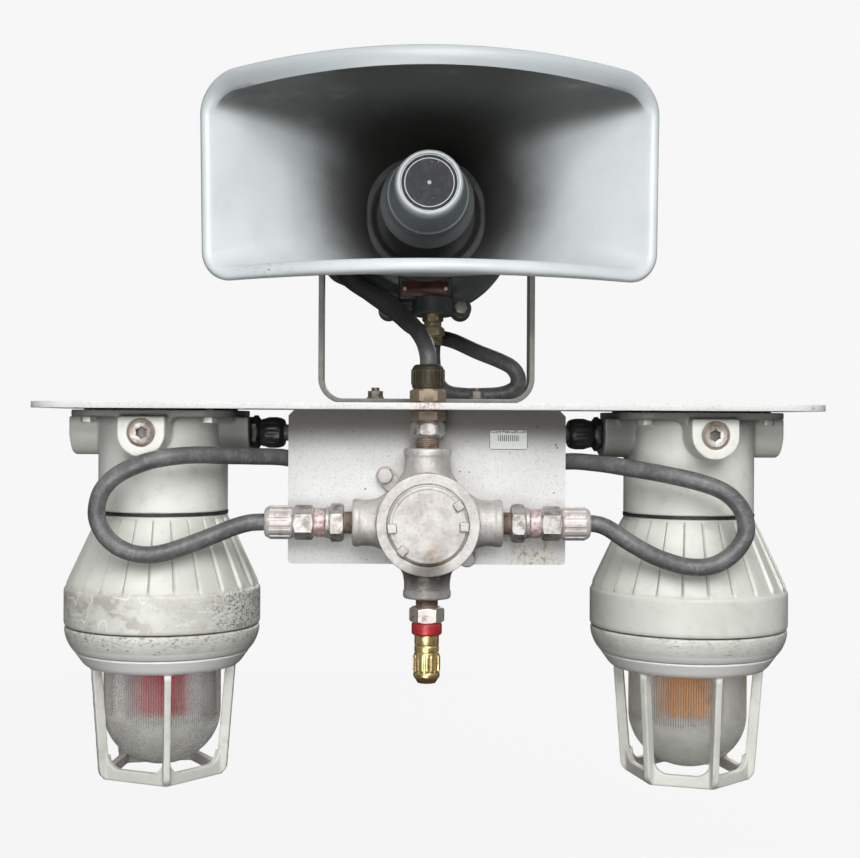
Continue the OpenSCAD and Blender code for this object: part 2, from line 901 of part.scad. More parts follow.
// Places of the bolts round the driver's flange
module driver_ears() {
    for (k = [0:driver_bolt_count - 1])
        rotate(22.5 + k * 360 / driver_bolt_count)
            translate([ear_at, 0, 0]) children();
}

module driver_body() {
    color(driver_grey)
        horn_frame()
            difference() {
                union() {
                    rotate_extrude()
                        polygon([
                            [12, -50], [46, -50], [50, -56], [74, -66], [82, -75],
                            [driver_r, -75], [driver_r, flange_z], [12, flange_z]]);
                    driver_ears() post(ear_r, flange_z, -75);
                    translate([-26, -84, -76]) cube([52, 34, 20]);
                    translate([fitting_x, -84, fitting_z])
                        rotate([90, 0, 0]) post(21, -2, 16);
                }
                post(12, -100, -40);
                post(70, flange_z - 1, -76);
                driver_ears() post(4 + fit, -100, -60);
                translate([fitting_x, 0, fitting_z])
                    rotate([90, 0, 0]) post(10 + fit, 90, 110);
            }
}

module driver_cover() {
    color(driver_grey)
        horn_frame()
            difference() {
                union() {
                    rotate_extrude()
                        polygon([
                            [0, -132], [40, -132], [70, -127], [84, -116], [88, -99],
                            [driver_r, -99], [driver_r, flange_z], [0, flange_z]]);
                    driver_ears() post(ear_r, -100, flange_z);
                    for (k = [0:7])
                        rotate(k * 45) translate([72, -2.5, -119]) cube([18, 5, 25]);
                }
                post(70, -120, flange_z + 1);
                driver_ears() post(4 + fit, -110, -60);
            }
}

module driver_nameplate() {
    color([0.35, 0.16, 0.12])
        horn_frame() {
            translate([-24, -81, -56]) cube([48, 15, 1]);
            for (sx = [-1, 1])
                translate([sx * 21, -73.5, 0]) post(1.6, -56, -54.4);
        }
}

module driver_bolts() {
    color(rust_brown)
        horn_frame()
            driver_ears() {
                hex(12.5, -75, -69);
                post(4, -105, -74);
                hex(12.5, -106.5, -100);
            }
}

module driver_fitting() {
    color(brass_tone)
        horn_frame()
            translate([fitting_x, 0, fitting_z])
                rotate([90, 0, 0])
                    difference() {
                        union() {
                            post(10, 92, 101);
                            hex(19, 100, 107);
                            post(9, 107, 112);
                            hex(21, 112, 122);
                            post(10.2, 122, -fitting_low);
                        }
                        post(cable_r + 0.6, 125, -fitting_low + 1);
                        post(4, 91, 126);
                    }
}

module driver_magnet() {
    color([0.3, 0.3, 0.32])
        horn_frame() {
            post(50, -120, -104);
            post(20, -104, -96);
            tube(50, 24, -104, -98);
        }
}

module driver_diaphragm() {
    color([0.75, 0.72, 0.6])
        horn_frame()
            rotate_extrude()
                polygon([
                    [0, -84], [12, -85], [19, -90], [22, -97], [69.9, -97], [69.9, -98],
                    [23, -98], [21.2, -98], [20.6, -95.5], [18, -91], [11.6, -86], [0, -85]]);
}

shelf_plate();
back_plate();
hood(-1);  // left_hood
hood(1);  // right_hood
hood_screws();
hood_plugs();
hood_glands();
hood_gaskets();
box_body();
box_bolts();
terminal_block();
conduit_nipples();
side_unions();
side_gland_body(270);  // left_gland_body
side_gland_body(90);  // right_gland_body
side_gland_caps();
gland_rings();
top_reducer();
top_locknut();
top_gland_body();
top_gland_cap();
bottom_union();
bottom_gland_body();
bottom_gland_cap();
gland_seals();
left_cable();
right_cable();
horn_cable();
yoke();
yoke_bolts();
box_cover();
cover_o_ring();
housing(-1);  // left_housing
board(-1);  // left_board
flash_tube(-1);  // left_flash_tube
tube_base(-1);  // left_tube_base
color_lens(-1, [0.7, 0.05, 0.1]);  // left_color_lens
lens_ring(-1);  // left_lens_ring
guard(-1);  // left_guard
globe(-1);  // left_globe
globe_gasket(-1);  // left_globe_gasket
housing(1);  // right_housing
board(1);  // right_board
flash_tube(1);  // right_flash_tube
tube_base(1);  // right_tube_base
color_lens(1, [0.9, 0.5, 0.05]);  // right_color_lens
lens_ring(1);  // right_lens_ring
guard(1);  // right_guard
globe(1);  // right_globe
globe_gasket(1);  // right_globe_gasket
horn_bell();
horn_base();
horn_bullet();
driver_body();
driver_cover();
driver_nameplate();
driver_bolts();
driver_fitting();
driver_magnet();
driver_diaphragm();
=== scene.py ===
import json
import math

import bmesh
import bpy
from mathutils import Matrix, Quaternion, Vector


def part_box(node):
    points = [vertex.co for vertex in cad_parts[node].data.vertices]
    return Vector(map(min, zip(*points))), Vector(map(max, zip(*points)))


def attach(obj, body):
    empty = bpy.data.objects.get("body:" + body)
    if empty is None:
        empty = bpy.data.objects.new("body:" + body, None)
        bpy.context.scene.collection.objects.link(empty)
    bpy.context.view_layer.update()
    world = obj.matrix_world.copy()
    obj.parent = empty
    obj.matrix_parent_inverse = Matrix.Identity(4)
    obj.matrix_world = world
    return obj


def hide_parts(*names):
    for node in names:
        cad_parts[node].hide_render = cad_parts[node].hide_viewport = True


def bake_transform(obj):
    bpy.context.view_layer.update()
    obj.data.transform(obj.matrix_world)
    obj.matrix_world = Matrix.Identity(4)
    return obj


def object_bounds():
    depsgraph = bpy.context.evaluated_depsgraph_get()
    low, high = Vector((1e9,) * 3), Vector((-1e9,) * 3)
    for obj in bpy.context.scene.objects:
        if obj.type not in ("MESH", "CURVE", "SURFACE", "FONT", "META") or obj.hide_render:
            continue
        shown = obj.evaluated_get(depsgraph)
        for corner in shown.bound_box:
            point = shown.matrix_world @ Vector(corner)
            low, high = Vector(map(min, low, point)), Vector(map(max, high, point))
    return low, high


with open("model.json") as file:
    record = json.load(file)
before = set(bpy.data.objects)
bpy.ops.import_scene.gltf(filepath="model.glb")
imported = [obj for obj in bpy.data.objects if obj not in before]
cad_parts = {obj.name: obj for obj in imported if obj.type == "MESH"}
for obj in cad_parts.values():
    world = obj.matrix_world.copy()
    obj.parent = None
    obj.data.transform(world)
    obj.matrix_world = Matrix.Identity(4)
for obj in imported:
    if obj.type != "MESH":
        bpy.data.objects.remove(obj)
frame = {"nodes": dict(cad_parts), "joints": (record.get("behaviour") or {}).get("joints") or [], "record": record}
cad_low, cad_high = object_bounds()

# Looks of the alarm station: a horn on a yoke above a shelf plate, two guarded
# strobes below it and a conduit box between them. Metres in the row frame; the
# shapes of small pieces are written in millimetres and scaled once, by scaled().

MM = 0.001
TAU = 2 * math.pi


def middle(node):
    """Centre of a CAD node's box."""
    low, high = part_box(node)
    return (low + high) / 2


# ---- Camera, lights and stage ----

PAPER = 0.93
VIEWPOINT = Vector((-0.033, -1.4, -0.014))
LENS = 59.8
ROLL = 0.3
SHIFT = (0.0436, -0.0128)
LIGHTS = (  # name, place, what it points at, width in metres, power in watts
    ("key", (0.25, -2.45, 1.35), (0, 0, -0.05), 2.0, 80),
    ("low_fill", (-0.5, -2.3, -0.75), (0, 0, -0.25), 1.5, 36),
    ("back_fill", (0.8, 2.4, 1.2), (0, 0, 0), 1.6, 30))


def make_camera():
    camera = bpy.data.objects.new("camera", bpy.data.cameras.new("camera"))
    camera.data.lens = LENS
    camera.data.shift_x, camera.data.shift_y = SHIFT
    camera.location = VIEWPOINT
    level = Quaternion((1, 0, 0), math.pi / 2)
    camera.rotation_mode = "QUATERNION"
    camera.rotation_quaternion = level @ Quaternion((0, 0, 1), math.radians(ROLL))
    bpy.context.scene.collection.objects.link(camera)
    bpy.context.scene.camera = camera


def area_light(name, place, target, size, power):
    data = bpy.data.lights.new(name, "AREA")
    data.shape, data.size, data.energy = "DISK", size, power
    lamp = bpy.data.objects.new(name, data)
    lamp.location = place
    lamp.rotation_mode = "QUATERNION"
    lamp.rotation_quaternion = (Vector(target) - Vector(place)).to_track_quat("-Z", "Y")
    bpy.context.scene.collection.objects.link(lamp)


def make_world():
    """Light from a sky that dims towards a dark ground; the camera sees plain paper white instead."""
    world = bpy.data.worlds.new("studio")
    bpy.context.scene.world = world
    world.use_nodes = True
    tree = world.node_tree
    sky = tree.nodes["Background"]
    add = tree.nodes.new
    coordinates = add("ShaderNodeTexCoord")
    split = add("ShaderNodeSeparateXYZ")
    ramp = add("ShaderNodeValToRGB")
    height = add("ShaderNodeMapRange")
    height.inputs["From Min"].default_value = -1
    paper = add("ShaderNodeBackground")
    path = add("ShaderNodeLightPath")
    mix = add("ShaderNodeMixShader")
    paper.inputs["Color"].default_value = (PAPER, PAPER, PAPER, 1)
    stops = [(0.0, 0.04), (0.42, 0.06), (0.52, 0.12), (0.7, 0.24), (1.0, 0.42)]
    while len(ramp.color_ramp.elements) < len(stops):
        ramp.color_ramp.elements.new(0.5)
    for element, (place, value) in zip(ramp.color_ramp.elements, stops):
        element.position = place
        element.color = (value, value, value * 1.02, 1)
    link = tree.links.new
    link(coordinates.outputs["Generated"], split.inputs[0])
    link(split.outputs["Z"], height.inputs["Value"])
    link(height.outputs["Result"], ramp.inputs[0])
    link(ramp.outputs["Color"], sky.inputs["Color"])
    link(path.outputs["Is Camera Ray"], mix.inputs[0])
    link(sky.outputs[0], mix.inputs[1])
    link(paper.outputs[0], mix.inputs[2])
    link(mix.outputs[0], tree.nodes["World Output"].inputs["Surface"])


def make_floor():
    """A wide pale disc that fades into the backdrop's white, so that no horizon shows."""
    drop, radius, fade_from, fade_to = 0.30, 30.0, 0.7, 2.6
    floor = turned_object("floor", [(0, 0), (radius / MM, 0)], Matrix.Translation((0, 0, cad_low.z - drop)))
    look = Look("floor_paper", roughness=0.9)
    away = look.add("ShaderNodeVectorMath", operation="LENGTH")
    look.link(look.place, away.inputs[0])
    look.shader.inputs["Base Color"].default_value = (0.86, 0.86, 0.86, 1)
    glow = look.add("ShaderNodeEmission")
    glow.inputs["Color"].default_value = (PAPER, PAPER, PAPER, 1)
    mix = look.add("ShaderNodeMixShader")
    faded = look.math("MAXIMUM", look.band(away.outputs["Value"], fade_from, fade_to), 0.95)
    look.link(faded, mix.inputs[0])
    look.link(look.shader.outputs[0], mix.inputs[1])
    look.link(glow.outputs[0], mix.inputs[2])
    look.link(mix.outputs[0], look.tree.nodes["Material Output"].inputs["Surface"])
    floor.data.materials.append(look.material)
    floor.visible_diffuse = False
    floor.visible_glossy = False


# ---- Material helpers ----

class Look:
    """A material being made: its node tree, and the few nodes that most surfaces use."""

    def __init__(self, name, roughness=0.5, metallic=0.0, **sockets):
        self.material = bpy.data.materials.new(name)
        self.material.use_nodes = True
        self.tree = self.material.node_tree
        self.shader = self.tree.nodes["Principled BSDF"]
        self.set(roughness=roughness, metallic=metallic, **sockets)
        self.place = self.add("ShaderNodeTexCoord").outputs["Object"]

    @classmethod
    def of(cls, material):
        """The look of a material that has been made, to paint more on it."""
        look = cls.__new__(cls)
        look.material, look.tree = material, material.node_tree
        look.shader = look.tree.nodes["Principled BSDF"]
        look.place = look.add("ShaderNodeTexCoord").outputs["Object"]
        look.base = look.shader.inputs["Base Color"].links[0].from_socket
        return look

    def set(self, **sockets):
        for name, value in sockets.items():
            self.shader.inputs[name.replace("_", " ").title().replace("Ior", "IOR")].default_value = value

    def add(self, kind, **settings):
        node = self.tree.nodes.new(kind)
        for name, value in settings.items():
            setattr(node, name, value)
        return node

    def link(self, source, target):
        self.tree.links.new(source, target)

    def feed(self, value, target):
        """Link a socket, or set a plain number or colour."""
        if isinstance(value, bpy.types.NodeSocket):
            self.link(value, target)
        elif isinstance(value, tuple) and len(value) == 3:
            target.default_value = (*value, 1)
        else:
            target.default_value = value

    def noise(self, size, detail=4.0, rough=0.55, stretch=(1, 1, 1), offset=0.0):
        """Cloudy noise from 0 to 1, with features of about size millimetres."""
        place = self.add("ShaderNodeMapping")
        place.inputs["Scale"].default_value = stretch
        place.inputs["Location"].default_value = (offset, offset * 0.7, offset * 1.3)
        self.link(self.place, place.inputs["Vector"])
        node = self.add("ShaderNodeTexNoise")
        node.inputs["Scale"].default_value = 1 / (size * MM)
        node.inputs["Detail"].default_value = detail
        node.inputs["Roughness"].default_value = rough
        self.link(place.outputs[0], node.inputs["Vector"])
        return node.outputs["Fac"]

    def grains(self, size, offset=0.0):
        """Distance to scattered points about size millimetres apart."""
        place = self.add("ShaderNodeMapping")
        place.inputs["Location"].default_value = (offset, offset, offset)
        self.link(self.place, place.inputs["Vector"])
        node = self.add("ShaderNodeTexVoronoi")
        node.inputs["Scale"].default_value = 1 / (size * MM)
        self.link(place.outputs[0], node.inputs["Vector"])
        return node.outputs["Distance"]

    def axis(self, letter):
        node = self.add("ShaderNodeSeparateXYZ")
        self.link(self.place, node.inputs[0])
        return node.outputs[letter]

    def band(self, value, low, high):
        """0 below low, 1 above high and smooth between them; the ends may be swapped."""
        node = self.add("ShaderNodeMapRange", interpolation_type="SMOOTHSTEP")
        swapped = low > high
        node.inputs["From Min"].default_value = min(low, high)
        node.inputs["From Max"].default_value = max(low, high)
        node.inputs["To Min"].default_value = float(swapped)
        node.inputs["To Max"].default_value = float(not swapped)
        self.link(value, node.inputs["Value"])
        return node.outputs["Result"]

    def math(self, operation, a, b=0.0, clamp=True):
        node = self.add("ShaderNodeMath", operation=operation, use_clamp=clamp)
        self.feed(a, node.inputs[0])
        self.feed(b, node.inputs[1])
        return node.outputs[0]

    def free(self, operation, a, b=0.0):
        """Arithmetic with no limits on its result."""
        return self.math(operation, a, b, clamp=False)

    def both(self, *masks):
        result = masks[0]
        for mask in masks[1:]:
            result = self.math("MULTIPLY", result, mask)
        return result

    def mix(self, share, a, b):
        node = self.add("ShaderNodeMix", data_type="RGBA")
        self.feed(share, node.inputs[0])
        self.feed(a, node.inputs[6])
        self.feed(b, node.inputs[7])
        return node.outputs[2]

    def away(self, point):
        """Distance from a point, both in metres."""
        node = self.add("ShaderNodeVectorMath", operation="DISTANCE")
        self.link(self.place, node.inputs[0])
        node.inputs[1].default_value = tuple(point)
        return node.outputs["Value"]

    def near(self, point, inner, outer):
        """1 within inner millimetres of a point in metres, 0 past outer."""
        return self.band(self.away(point), outer * MM, inner * MM)

    def edges(self, low=0.505, high=0.56):
        """1 along raised edges."""
        return self.band(self.add("ShaderNodeNewGeometry").outputs["Pointiness"], low, high)

    def hollows(self):
        """1 in the hollows where dirt gathers."""
        return self.edges(0.495, 0.44)

    def cloud(self, low, high, *size, **shape):
        """A noise's soft patches: 0 where it is under low, 1 over high."""
        return self.band(self.noise(*size, **shape), low, high)

    def specks(self, low, high, *size):
        """1 in a speck at each scattered point, where low is the larger distance."""
        return self.band(self.grains(*size), low, high)

    def along(self, letter, low, high):
        """0 below low on an axis, 1 above high; the ends may be swapped."""
        return self.band(self.axis(letter), low, high)

    def lay(self, colour):
        """Take a socket as the surface's colour."""
        self.base = colour
        self.link(colour, self.shader.inputs["Base Color"])

    def mottle(self, tone, shade, low, high, *size, **shape):
        """Start the colour: a tone that drifts to its shade in a noise's patches."""
        self.lay(self.mix(self.cloud(low, high, *size, **shape), tone, shade))

    def paint(self, colour, *masks):
        """Lay a colour over what is there, as far as every mask lets it show."""
        self.lay(self.mix(self.both(*masks), self.base, colour))

    def gloss(self, share, a, b):
        """Roughness that runs from a to b with share."""
        node = self.add("ShaderNodeMapRange")
        self.feed(share, node.inputs["Value"])
        node.inputs["To Min"].default_value = a
        node.inputs["To Max"].default_value = b
        self.link(node.outputs["Result"], self.shader.inputs["Roughness"])

    def bumps(self, height, depth):
        """Surface relief depth millimetres deep."""
        node = self.add("ShaderNodeBump")
        node.inputs["Distance"].default_value = depth * MM
        self.link(height, node.inputs["Height"])
        self.link(node.outputs[0], self.shader.inputs["Normal"])


# ---- Materials ----

SOOT = (0.035, 0.034, 0.032)


def painted(name, tone, shade, roughness=0.42, dirt=0.35, chips=0.25, coat=0.0):
    """Weathered gloss paint: a cloudy tone, grime in the hollows, small chips and scuffs."""
    look = Look(name, coat_weight=coat, coat_roughness=0.15)
    look.mottle(tone, shade, 0.35, 0.7, 55)
    grime = look.both(look.cloud(0.5, 0.78, 14, 8, 0.65), dirt)
    look.paint((tone[0] * 0.55, tone[1] * 0.52, tone[2] * 0.46), grime)
    look.paint((tone[0] * 0.3, tone[1] * 0.29, tone[2] * 0.25), look.hollows(), 0.75)
    scratches = look.noise(2.2, 3, 0.6, stretch=(1, 1, 0.12), offset=3.1)
    chipped = look.both(look.band(scratches, 0.70, 0.74), look.cloud(0.5, 0.62, 30, 3, offset=8))
    flecks = look.both(look.specks(0.09, 0.05, 9, 1.7), look.cloud(0.48, 0.56, 40, offset=5))
    marks = look.math("MAXIMUM", chipped, flecks)
    look.paint(SOOT, marks, chips)
    look.gloss(look.noise(20, 6), roughness - 0.1, roughness + 0.14)
    look.bumps(look.noise(1.1, 3), 0.035)
    return look


def strobe_paint():
    return painted("strobe_paint", (0.65, 0.655, 0.605), (0.58, 0.585, 0.53)).material


def hood_paint():
    """The hoods: paler than the housings, with painted shade on their top flange under the shelf and round their
    inner hubs.
    """
    look = painted("hood_paint", (0.77, 0.775, 0.725), (0.69, 0.695, 0.64))
    # Painted shade: the top flange is darkened where the shelf shades it.
    flange = look.both(look.along("Z", -0.022, -0.012), 0.72)
    look.paint((0.085, 0.085, 0.07), flange)
    # Painted shade round each inner hub, next to its gland.
    for side in STROBES:
        inner_hub = hub_matrix(side, 0) @ Vector((0, 0, 0.075))
        look.paint((0.07, 0.07, 0.06), look.near(inner_hub, 20, 46), 0.8)
    return look.material


def guard_paint():
    """The guards: chips down the bars, and a painted highlight on the lip below the lens ring."""
    look = painted("guard_paint", (0.64, 0.645, 0.60), (0.54, 0.545, 0.50), dirt=0.5, chips=0.5)
    # Painted highlight: the lip is lightened as if lit from below.
    lip = look.both(look.along("Z", -0.262, -0.256), 0.9)
    look.paint((0.90, 0.90, 0.87), lip)
    return look.material


def scuffed_paint(name="scuffed_strobe_paint"):
    """The left lamp housing: its band is rubbed through to older coats, with scratches at its right end."""
    look = painted(name, (0.64, 0.645, 0.595), (0.57, 0.575, 0.52), dirt=0.3)
    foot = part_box("left_housing")[0].z
    band = look.both(look.along("Z", foot + 0.020, foot + 0.027), look.along("Z", foot + 0.062, foot + 0.054))
    left_end = look.along("X", -0.235, -0.275)
    patches = look.cloud(0.46, 0.56, 26, 7, 0.6, stretch=(1, 1, 1.5), offset=2.3)
    more_left = look.math("ADD", look.math("MULTIPLY", left_end, 0.5), 0.25)
    look.paint((0.40, 0.37, 0.32), band, patches, more_left)
    worn = look.cloud(0.52, 0.62, 7, 7, 0.7, offset=6.1)
    look.paint((0.47, 0.455, 0.41), band, worn, 0.6)
    strokes = look.cloud(0.57, 0.63, 7, 5, 0.65, stretch=(0.25, 0.25, 1.0), offset=4.4)
    look.paint((0.76, 0.76, 0.73), band, strokes, 0.55)
    whorls = look.noise(22, 1.5, 0.4, stretch=(1.1, 1.1, 0.7), offset=1.1)
    curls = look.both(look.band(whorls, 0.485, 0.50), look.band(whorls, 0.525, 0.51), left_end)
    look.paint((0.80, 0.80, 0.77), band, curls, 0.8)
    dark_hairs = look.cloud(0.63, 0.67, 3, 6, 0.75, stretch=(0.5, 0.5, 1.4), offset=8.8)
    look.paint((0.12, 0.115, 0.10), band, dark_hairs, 0.6)
    right_end = look.both(look.along("X", -0.215, -0.175), band)
    nicks = look.cloud(0.51, 0.56, 2.6, 6, 0.75, stretch=(0.7, 0.7, 1.2), offset=9.2)
    look.paint(SOOT, right_end, nicks, 0.9)
    nicks = look.cloud(0.53, 0.57, 3.4, 6, 0.75, offset=7.7)
    look.paint((0.85, 0.85, 0.82), right_end, nicks, 0.7)
    return look.material


def ring_paint(name, side):
    """The lens ring: dark rubs along its groove, a few black scratches, and a painted highlight on its lower lip.
    """
    look = painted(name, (0.64, 0.645, 0.60), (0.56, 0.565, 0.515), dirt=0.4)
    low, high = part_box(side + "_lens_ring")
    height = look.axis("Z")
    belt = look.band(height, high.z - 0.013, high.z - 0.006)
    rubs = look.cloud(0.53, 0.60, 4.5, 8, 0.72, stretch=(1, 1, 1.6), offset=3.9)
    look.paint((0.25, 0.235, 0.20), belt, rubs, 0.8 if side == "left" else 0.3)
    thin = look.cloud(0.60, 0.63, 3.0, 6, 0.7, stretch=(0.5, 0.5, 2.5), offset=1.9)
    look.paint(SOOT, thin, 0.8)
    # Painted highlight on the lower lip.
    lip = look.both(look.band(height, low.z + 0.0075, low.z + 0.0055), 0.8)
    look.paint((0.80, 0.80, 0.77), lip)
    return look.material


def shelf_paint():
    """White powder coat with grey speckle, rust that seeps out by the fittings, and painted shade on the back
    plate just under the shelf.
    """
    look = Look("shelf_paint")
    look.mottle((0.70, 0.70, 0.69), (0.63, 0.63, 0.615), 0.3, 0.75, 70)
    speckle = look.cloud(0.53, 0.66, 1.7, 5, 0.75)
    look.paint((0.34, 0.335, 0.32), speckle, 0.6)
    spots = look.specks(0.075, 0.045, 15, 2.2)
    look.paint((0.10, 0.095, 0.09), spots, look.cloud(0.42, 0.52, 60, offset=4))
    low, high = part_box("back_plate")
    corner = Vector((high.x - 0.030, low.y, low.z + 0.004))
    seep = look.both(look.near(corner, 8, 34), look.cloud(0.50, 0.58, 5, 8, 0.7, offset=1))
    look.paint((0.36, 0.24, 0.10), seep, 0.85)
    under_gland = Vector((middle("top_gland_body").x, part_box("shelf_plate")[0].y, -0.002))
    stain = look.both(look.near(under_gland, 4, 20), look.cloud(0.47, 0.56, 3, 6, 0.7, offset=6))
    look.paint((0.45, 0.22, 0.16), stain, 0.8)
    below = look.near(Vector((0.0, low.y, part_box("side_unions")[0].z - 0.010)), 20, 150)
    soot = look.both(below, look.cloud(0.55, 0.75, 26, 7, 0.65, stretch=(0.5, 1, 1.3), offset=2), 0.35)
    look.paint((0.33, 0.32, 0.30), soot)
    # Painted shade: the back plate is darkened just under the shelf, where the shelf casts its shadow.
    shelf_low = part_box("shelf_plate")[0].z
    shade = look.along("Z", high.z - 0.044, high.z - 0.014)
    on_plate = look.along("Y", low.y - 0.002, low.y - 0.001)
    under_shelf = look.along("Z", shelf_low, shelf_low - 0.0003)
    look.paint((0.13, 0.12, 0.10), shade, on_plate, under_shelf, 0.85)
    edge_rust = look.both(look.edges(0.53, 0.60), look.cloud(0.53, 0.6, 4, 6, offset=9))
    look.paint((0.28, 0.24, 0.20), edge_rust, 0.6)
    look.gloss(look.noise(12, 6), 0.38, 0.6)
    look.bumps(look.noise(1.3, 4, 0.6), 0.07)
    return look.material


def horn_paint(name="horn_paint", inside=False, bullet=False):
    """Blue-grey enamel, scratched on the lower lip, with painted shade along the top of its lip; inside, painted
    shade darkens the roof and the throat.

    The bullet, the centre piece, is duller, with painted shade darkest behind its rim."""
    look = Look(name, coat_weight=0.12, coat_roughness=0.2)
    look.mottle((0.60, 0.635, 0.645), (0.53, 0.565, 0.575), 0.3, 0.72, 80, 5)
    film = look.cloud(0.5, 0.8, 22, 8, 0.62, stretch=(1, 1, 0.4), offset=3)
    look.paint((0.42, 0.41, 0.42), film, 0.22)
    low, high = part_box("horn_bell")
    # Painted shade along the top of the bell's lip.
    top_lip = look.both(look.along("Z", high.z - 0.060, high.z - 0.020), 0.8)
    look.paint((0.40, 0.435, 0.445), top_lip)
    lip_corner = Vector((low.x + 0.072, low.y + 0.055, low.z + 0.012))
    hairs = look.cloud(0.60, 0.625, 4.5, 5, 0.7, stretch=(0.45, 1, 1.8), offset=7)
    look.paint((0.13, 0.14, 0.15), hairs, look.near(lip_corner, 10, 42))
    flecks = look.both(look.specks(0.045, 0.025, 24, 3.3), look.cloud(0.47, 0.55, 80, offset=2))
    look.paint((0.12, 0.12, 0.12), flecks, 0.7)
    if inside:
        wisps = look.noise(60, 6, 0.6, offset=12)
        facing = look.add("ShaderNodeNewGeometry")
        split = look.add("ShaderNodeSeparateXYZ")
        look.link(facing.outputs["Normal"], split.inputs[0])
        # Painted shade on the downward-facing roof inside the bell.
        roof = look.both(look.band(split.outputs["Z"], -0.25, -0.80), look.along("Z", 0.19, 0.23))
        roof = look.both(roof, look.band(wisps, 0.05, 0.45), 0.82)
        look.paint((0.060, 0.060, 0.048), roof)
        # Painted shade deep in the throat, round the bullet.
        throat = place_on_horn(Vector((0, 8, 0)))
        painted_shade = look.math("ADD", look.away(throat), look.math("MULTIPLY", wisps, 0.03))
        look.paint((0.030, 0.030, 0.026), look.band(painted_shade, 0.178, 0.085), 0.95)
    if bullet:
        look.paint((0.24, 0.265, 0.27), 0.5)
        look.paint((0.12, 0.125, 0.125), film, 0.3)
        # Painted shade on the bullet behind its rim.
        behind_rim = look.band(look.away(place_on_horn(Vector())), 0.098, 0.088)
        look.paint((0.07, 0.078, 0.078), behind_rim, 0.72)
    look.gloss(look.noise(35, 6), 0.34, 0.48)
    look.bumps(look.noise(7, 3, 0.4), 0.05)
    return look.material


def dark_enamel(name, tone, worn, wear=0.7, roughness=0.42):
    """Dark machine enamel, rubbed pale along its edges and dusty in places."""
    look = Look(name)
    look.mottle(tone, tuple(c * 1.35 for c in tone), 0.35, 0.7, 24, 6)
    dust = look.cloud(0.55, 0.75, 7, 8, 0.7, offset=3)
    look.paint(worn, dust, 0.3)
    rubbed = look.both(look.edges(), look.cloud(0.4, 0.58, 9, 6, offset=5), wear)
    look.paint(worn, rubbed)
    look.gloss(look.noise(15, 6), roughness - 0.1, roughness + 0.15)
    look.bumps(look.noise(1.8, 4), 0.08)
    return look.material


def cast_metal():
    """Sand-cast aluminium, warm and mottled, with bright rims that are partly rubbed metal and partly painted
    highlight, a brown stain on the cover, and painted shade on the lower hub below the cover.
    """
    look = Look("cast_metal", metallic=0.35)
    look.mottle((0.60, 0.58, 0.56), (0.42, 0.395, 0.37), 0.35, 0.68, 18, 8, 0.65)
    spots = look.cloud(0.56, 0.66, 2.4, 6, 0.7, offset=2)
    look.paint((0.23, 0.19, 0.165), spots, 0.5)
    pale = look.cloud(0.55, 0.68, 5, 7, 0.7, offset=8)
    look.paint((0.70, 0.68, 0.66), pale, 0.55)
    # Bright rims: partly rubbed metal, partly painted highlight.
    look.paint((0.80, 0.79, 0.77), look.edges(0.515, 0.56), 0.75)
    look.paint((0.10, 0.085, 0.075), look.hollows(), 0.7)
    cover_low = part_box("box_cover")[0]
    centre = middle("box_cover")
    foot = Vector((centre.x + 0.004, cover_low.y, cover_low.z + 0.006))
    brown = look.both(look.near(foot, 4, 19), look.cloud(0.38, 0.62, 8, 6, offset=4))
    look.paint((0.33, 0.235, 0.15), brown, 0.75)
    # Painted shade on the lower hub, where the cover's overhang shades it.
    hub = Vector((BOX_PLACE.x, BOX_PLACE.y - 0.016, cover_low.z - 0.008))
    shade = look.both(look.near(hub, 13, 34), look.cloud(0.12, 0.5, 9, 7, 0.65, offset=5), 0.9)
    look.paint((0.065, 0.057, 0.048), shade)
    look.gloss(look.noise(6, 6), 0.36, 0.62)
    relief = look.math("MAXIMUM", look.noise(1.4, 5, 0.65), look.both(look.noise(5, 4, offset=3), 0.9))
    look.bumps(relief, 0.42)
    return look.material


def plated(name, tone, stain, metallic=0.75, roughness=0.38, cover=(0.50, 0.66), depth=0.12):
    """Weathered plated metal with stains, dark pits, and bright edges that are partly worn metal and partly
    painted highlight.
    """
    look = Look(name, metallic=metallic)
    look.mottle(tone, stain, *cover, 10, 8, 0.65)
    pits = look.cloud(0.57, 0.66, 1.9, 6, 0.7, offset=3)
    look.paint(tuple(c * 0.25 for c in tone), pits, 0.6)
    # Bright edges: partly worn metal, partly painted highlight.
    shine = tuple(min(1.0, c * 1.4 + 0.05) for c in tone)
    look.paint(shine, look.edges(0.51, 0.56), 0.6)
    look.paint(tuple(c * 0.3 for c in stain), look.hollows(), 0.7)
    look.gloss(look.noise(6, 6, 0.6, offset=6), roughness - 0.12, roughness + 0.2)
    look.bumps(look.noise(1.6, 5, 0.6, offset=1), depth)
    return look.material


def nameplate_metal():
    """Brown nameplate with no lettering, held by two bright rivets."""
    material = plated("nameplate_brown", (0.085, 0.026, 0.018), (0.04, 0.014, 0.010), 0.2)
    look = Look.of(material)
    for across in (-21, 21):
        rivet = look.near(place_on_horn(Vector((across, -73.5, -54.5))), 1.5, 2.3)
        look.paint((0.55, 0.53, 0.50), rivet)
    return material


def brass_cap():
    """Bright brass with brown tarnish, and the reddish end of the spare gland."""
    look = Look("brass", metallic=0.85)
    look.mottle((0.78, 0.60, 0.27), (0.42, 0.29, 0.11), 0.42, 0.68, 8, 8, 0.65)
    look.paint((0.93, 0.80, 0.50), look.edges(0.51, 0.56), 0.7)
    look.paint((0.13, 0.085, 0.03), look.hollows(), 0.65)
    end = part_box("bottom_gland_cap")[0].z
    look.paint((0.55, 0.20, 0.10), look.along("Z", end + 0.006, end + 0.001))
    look.gloss(look.noise(5, 6), 0.22, 0.48)
    look.bumps(look.noise(1.4, 4), 0.06)
    return look.material


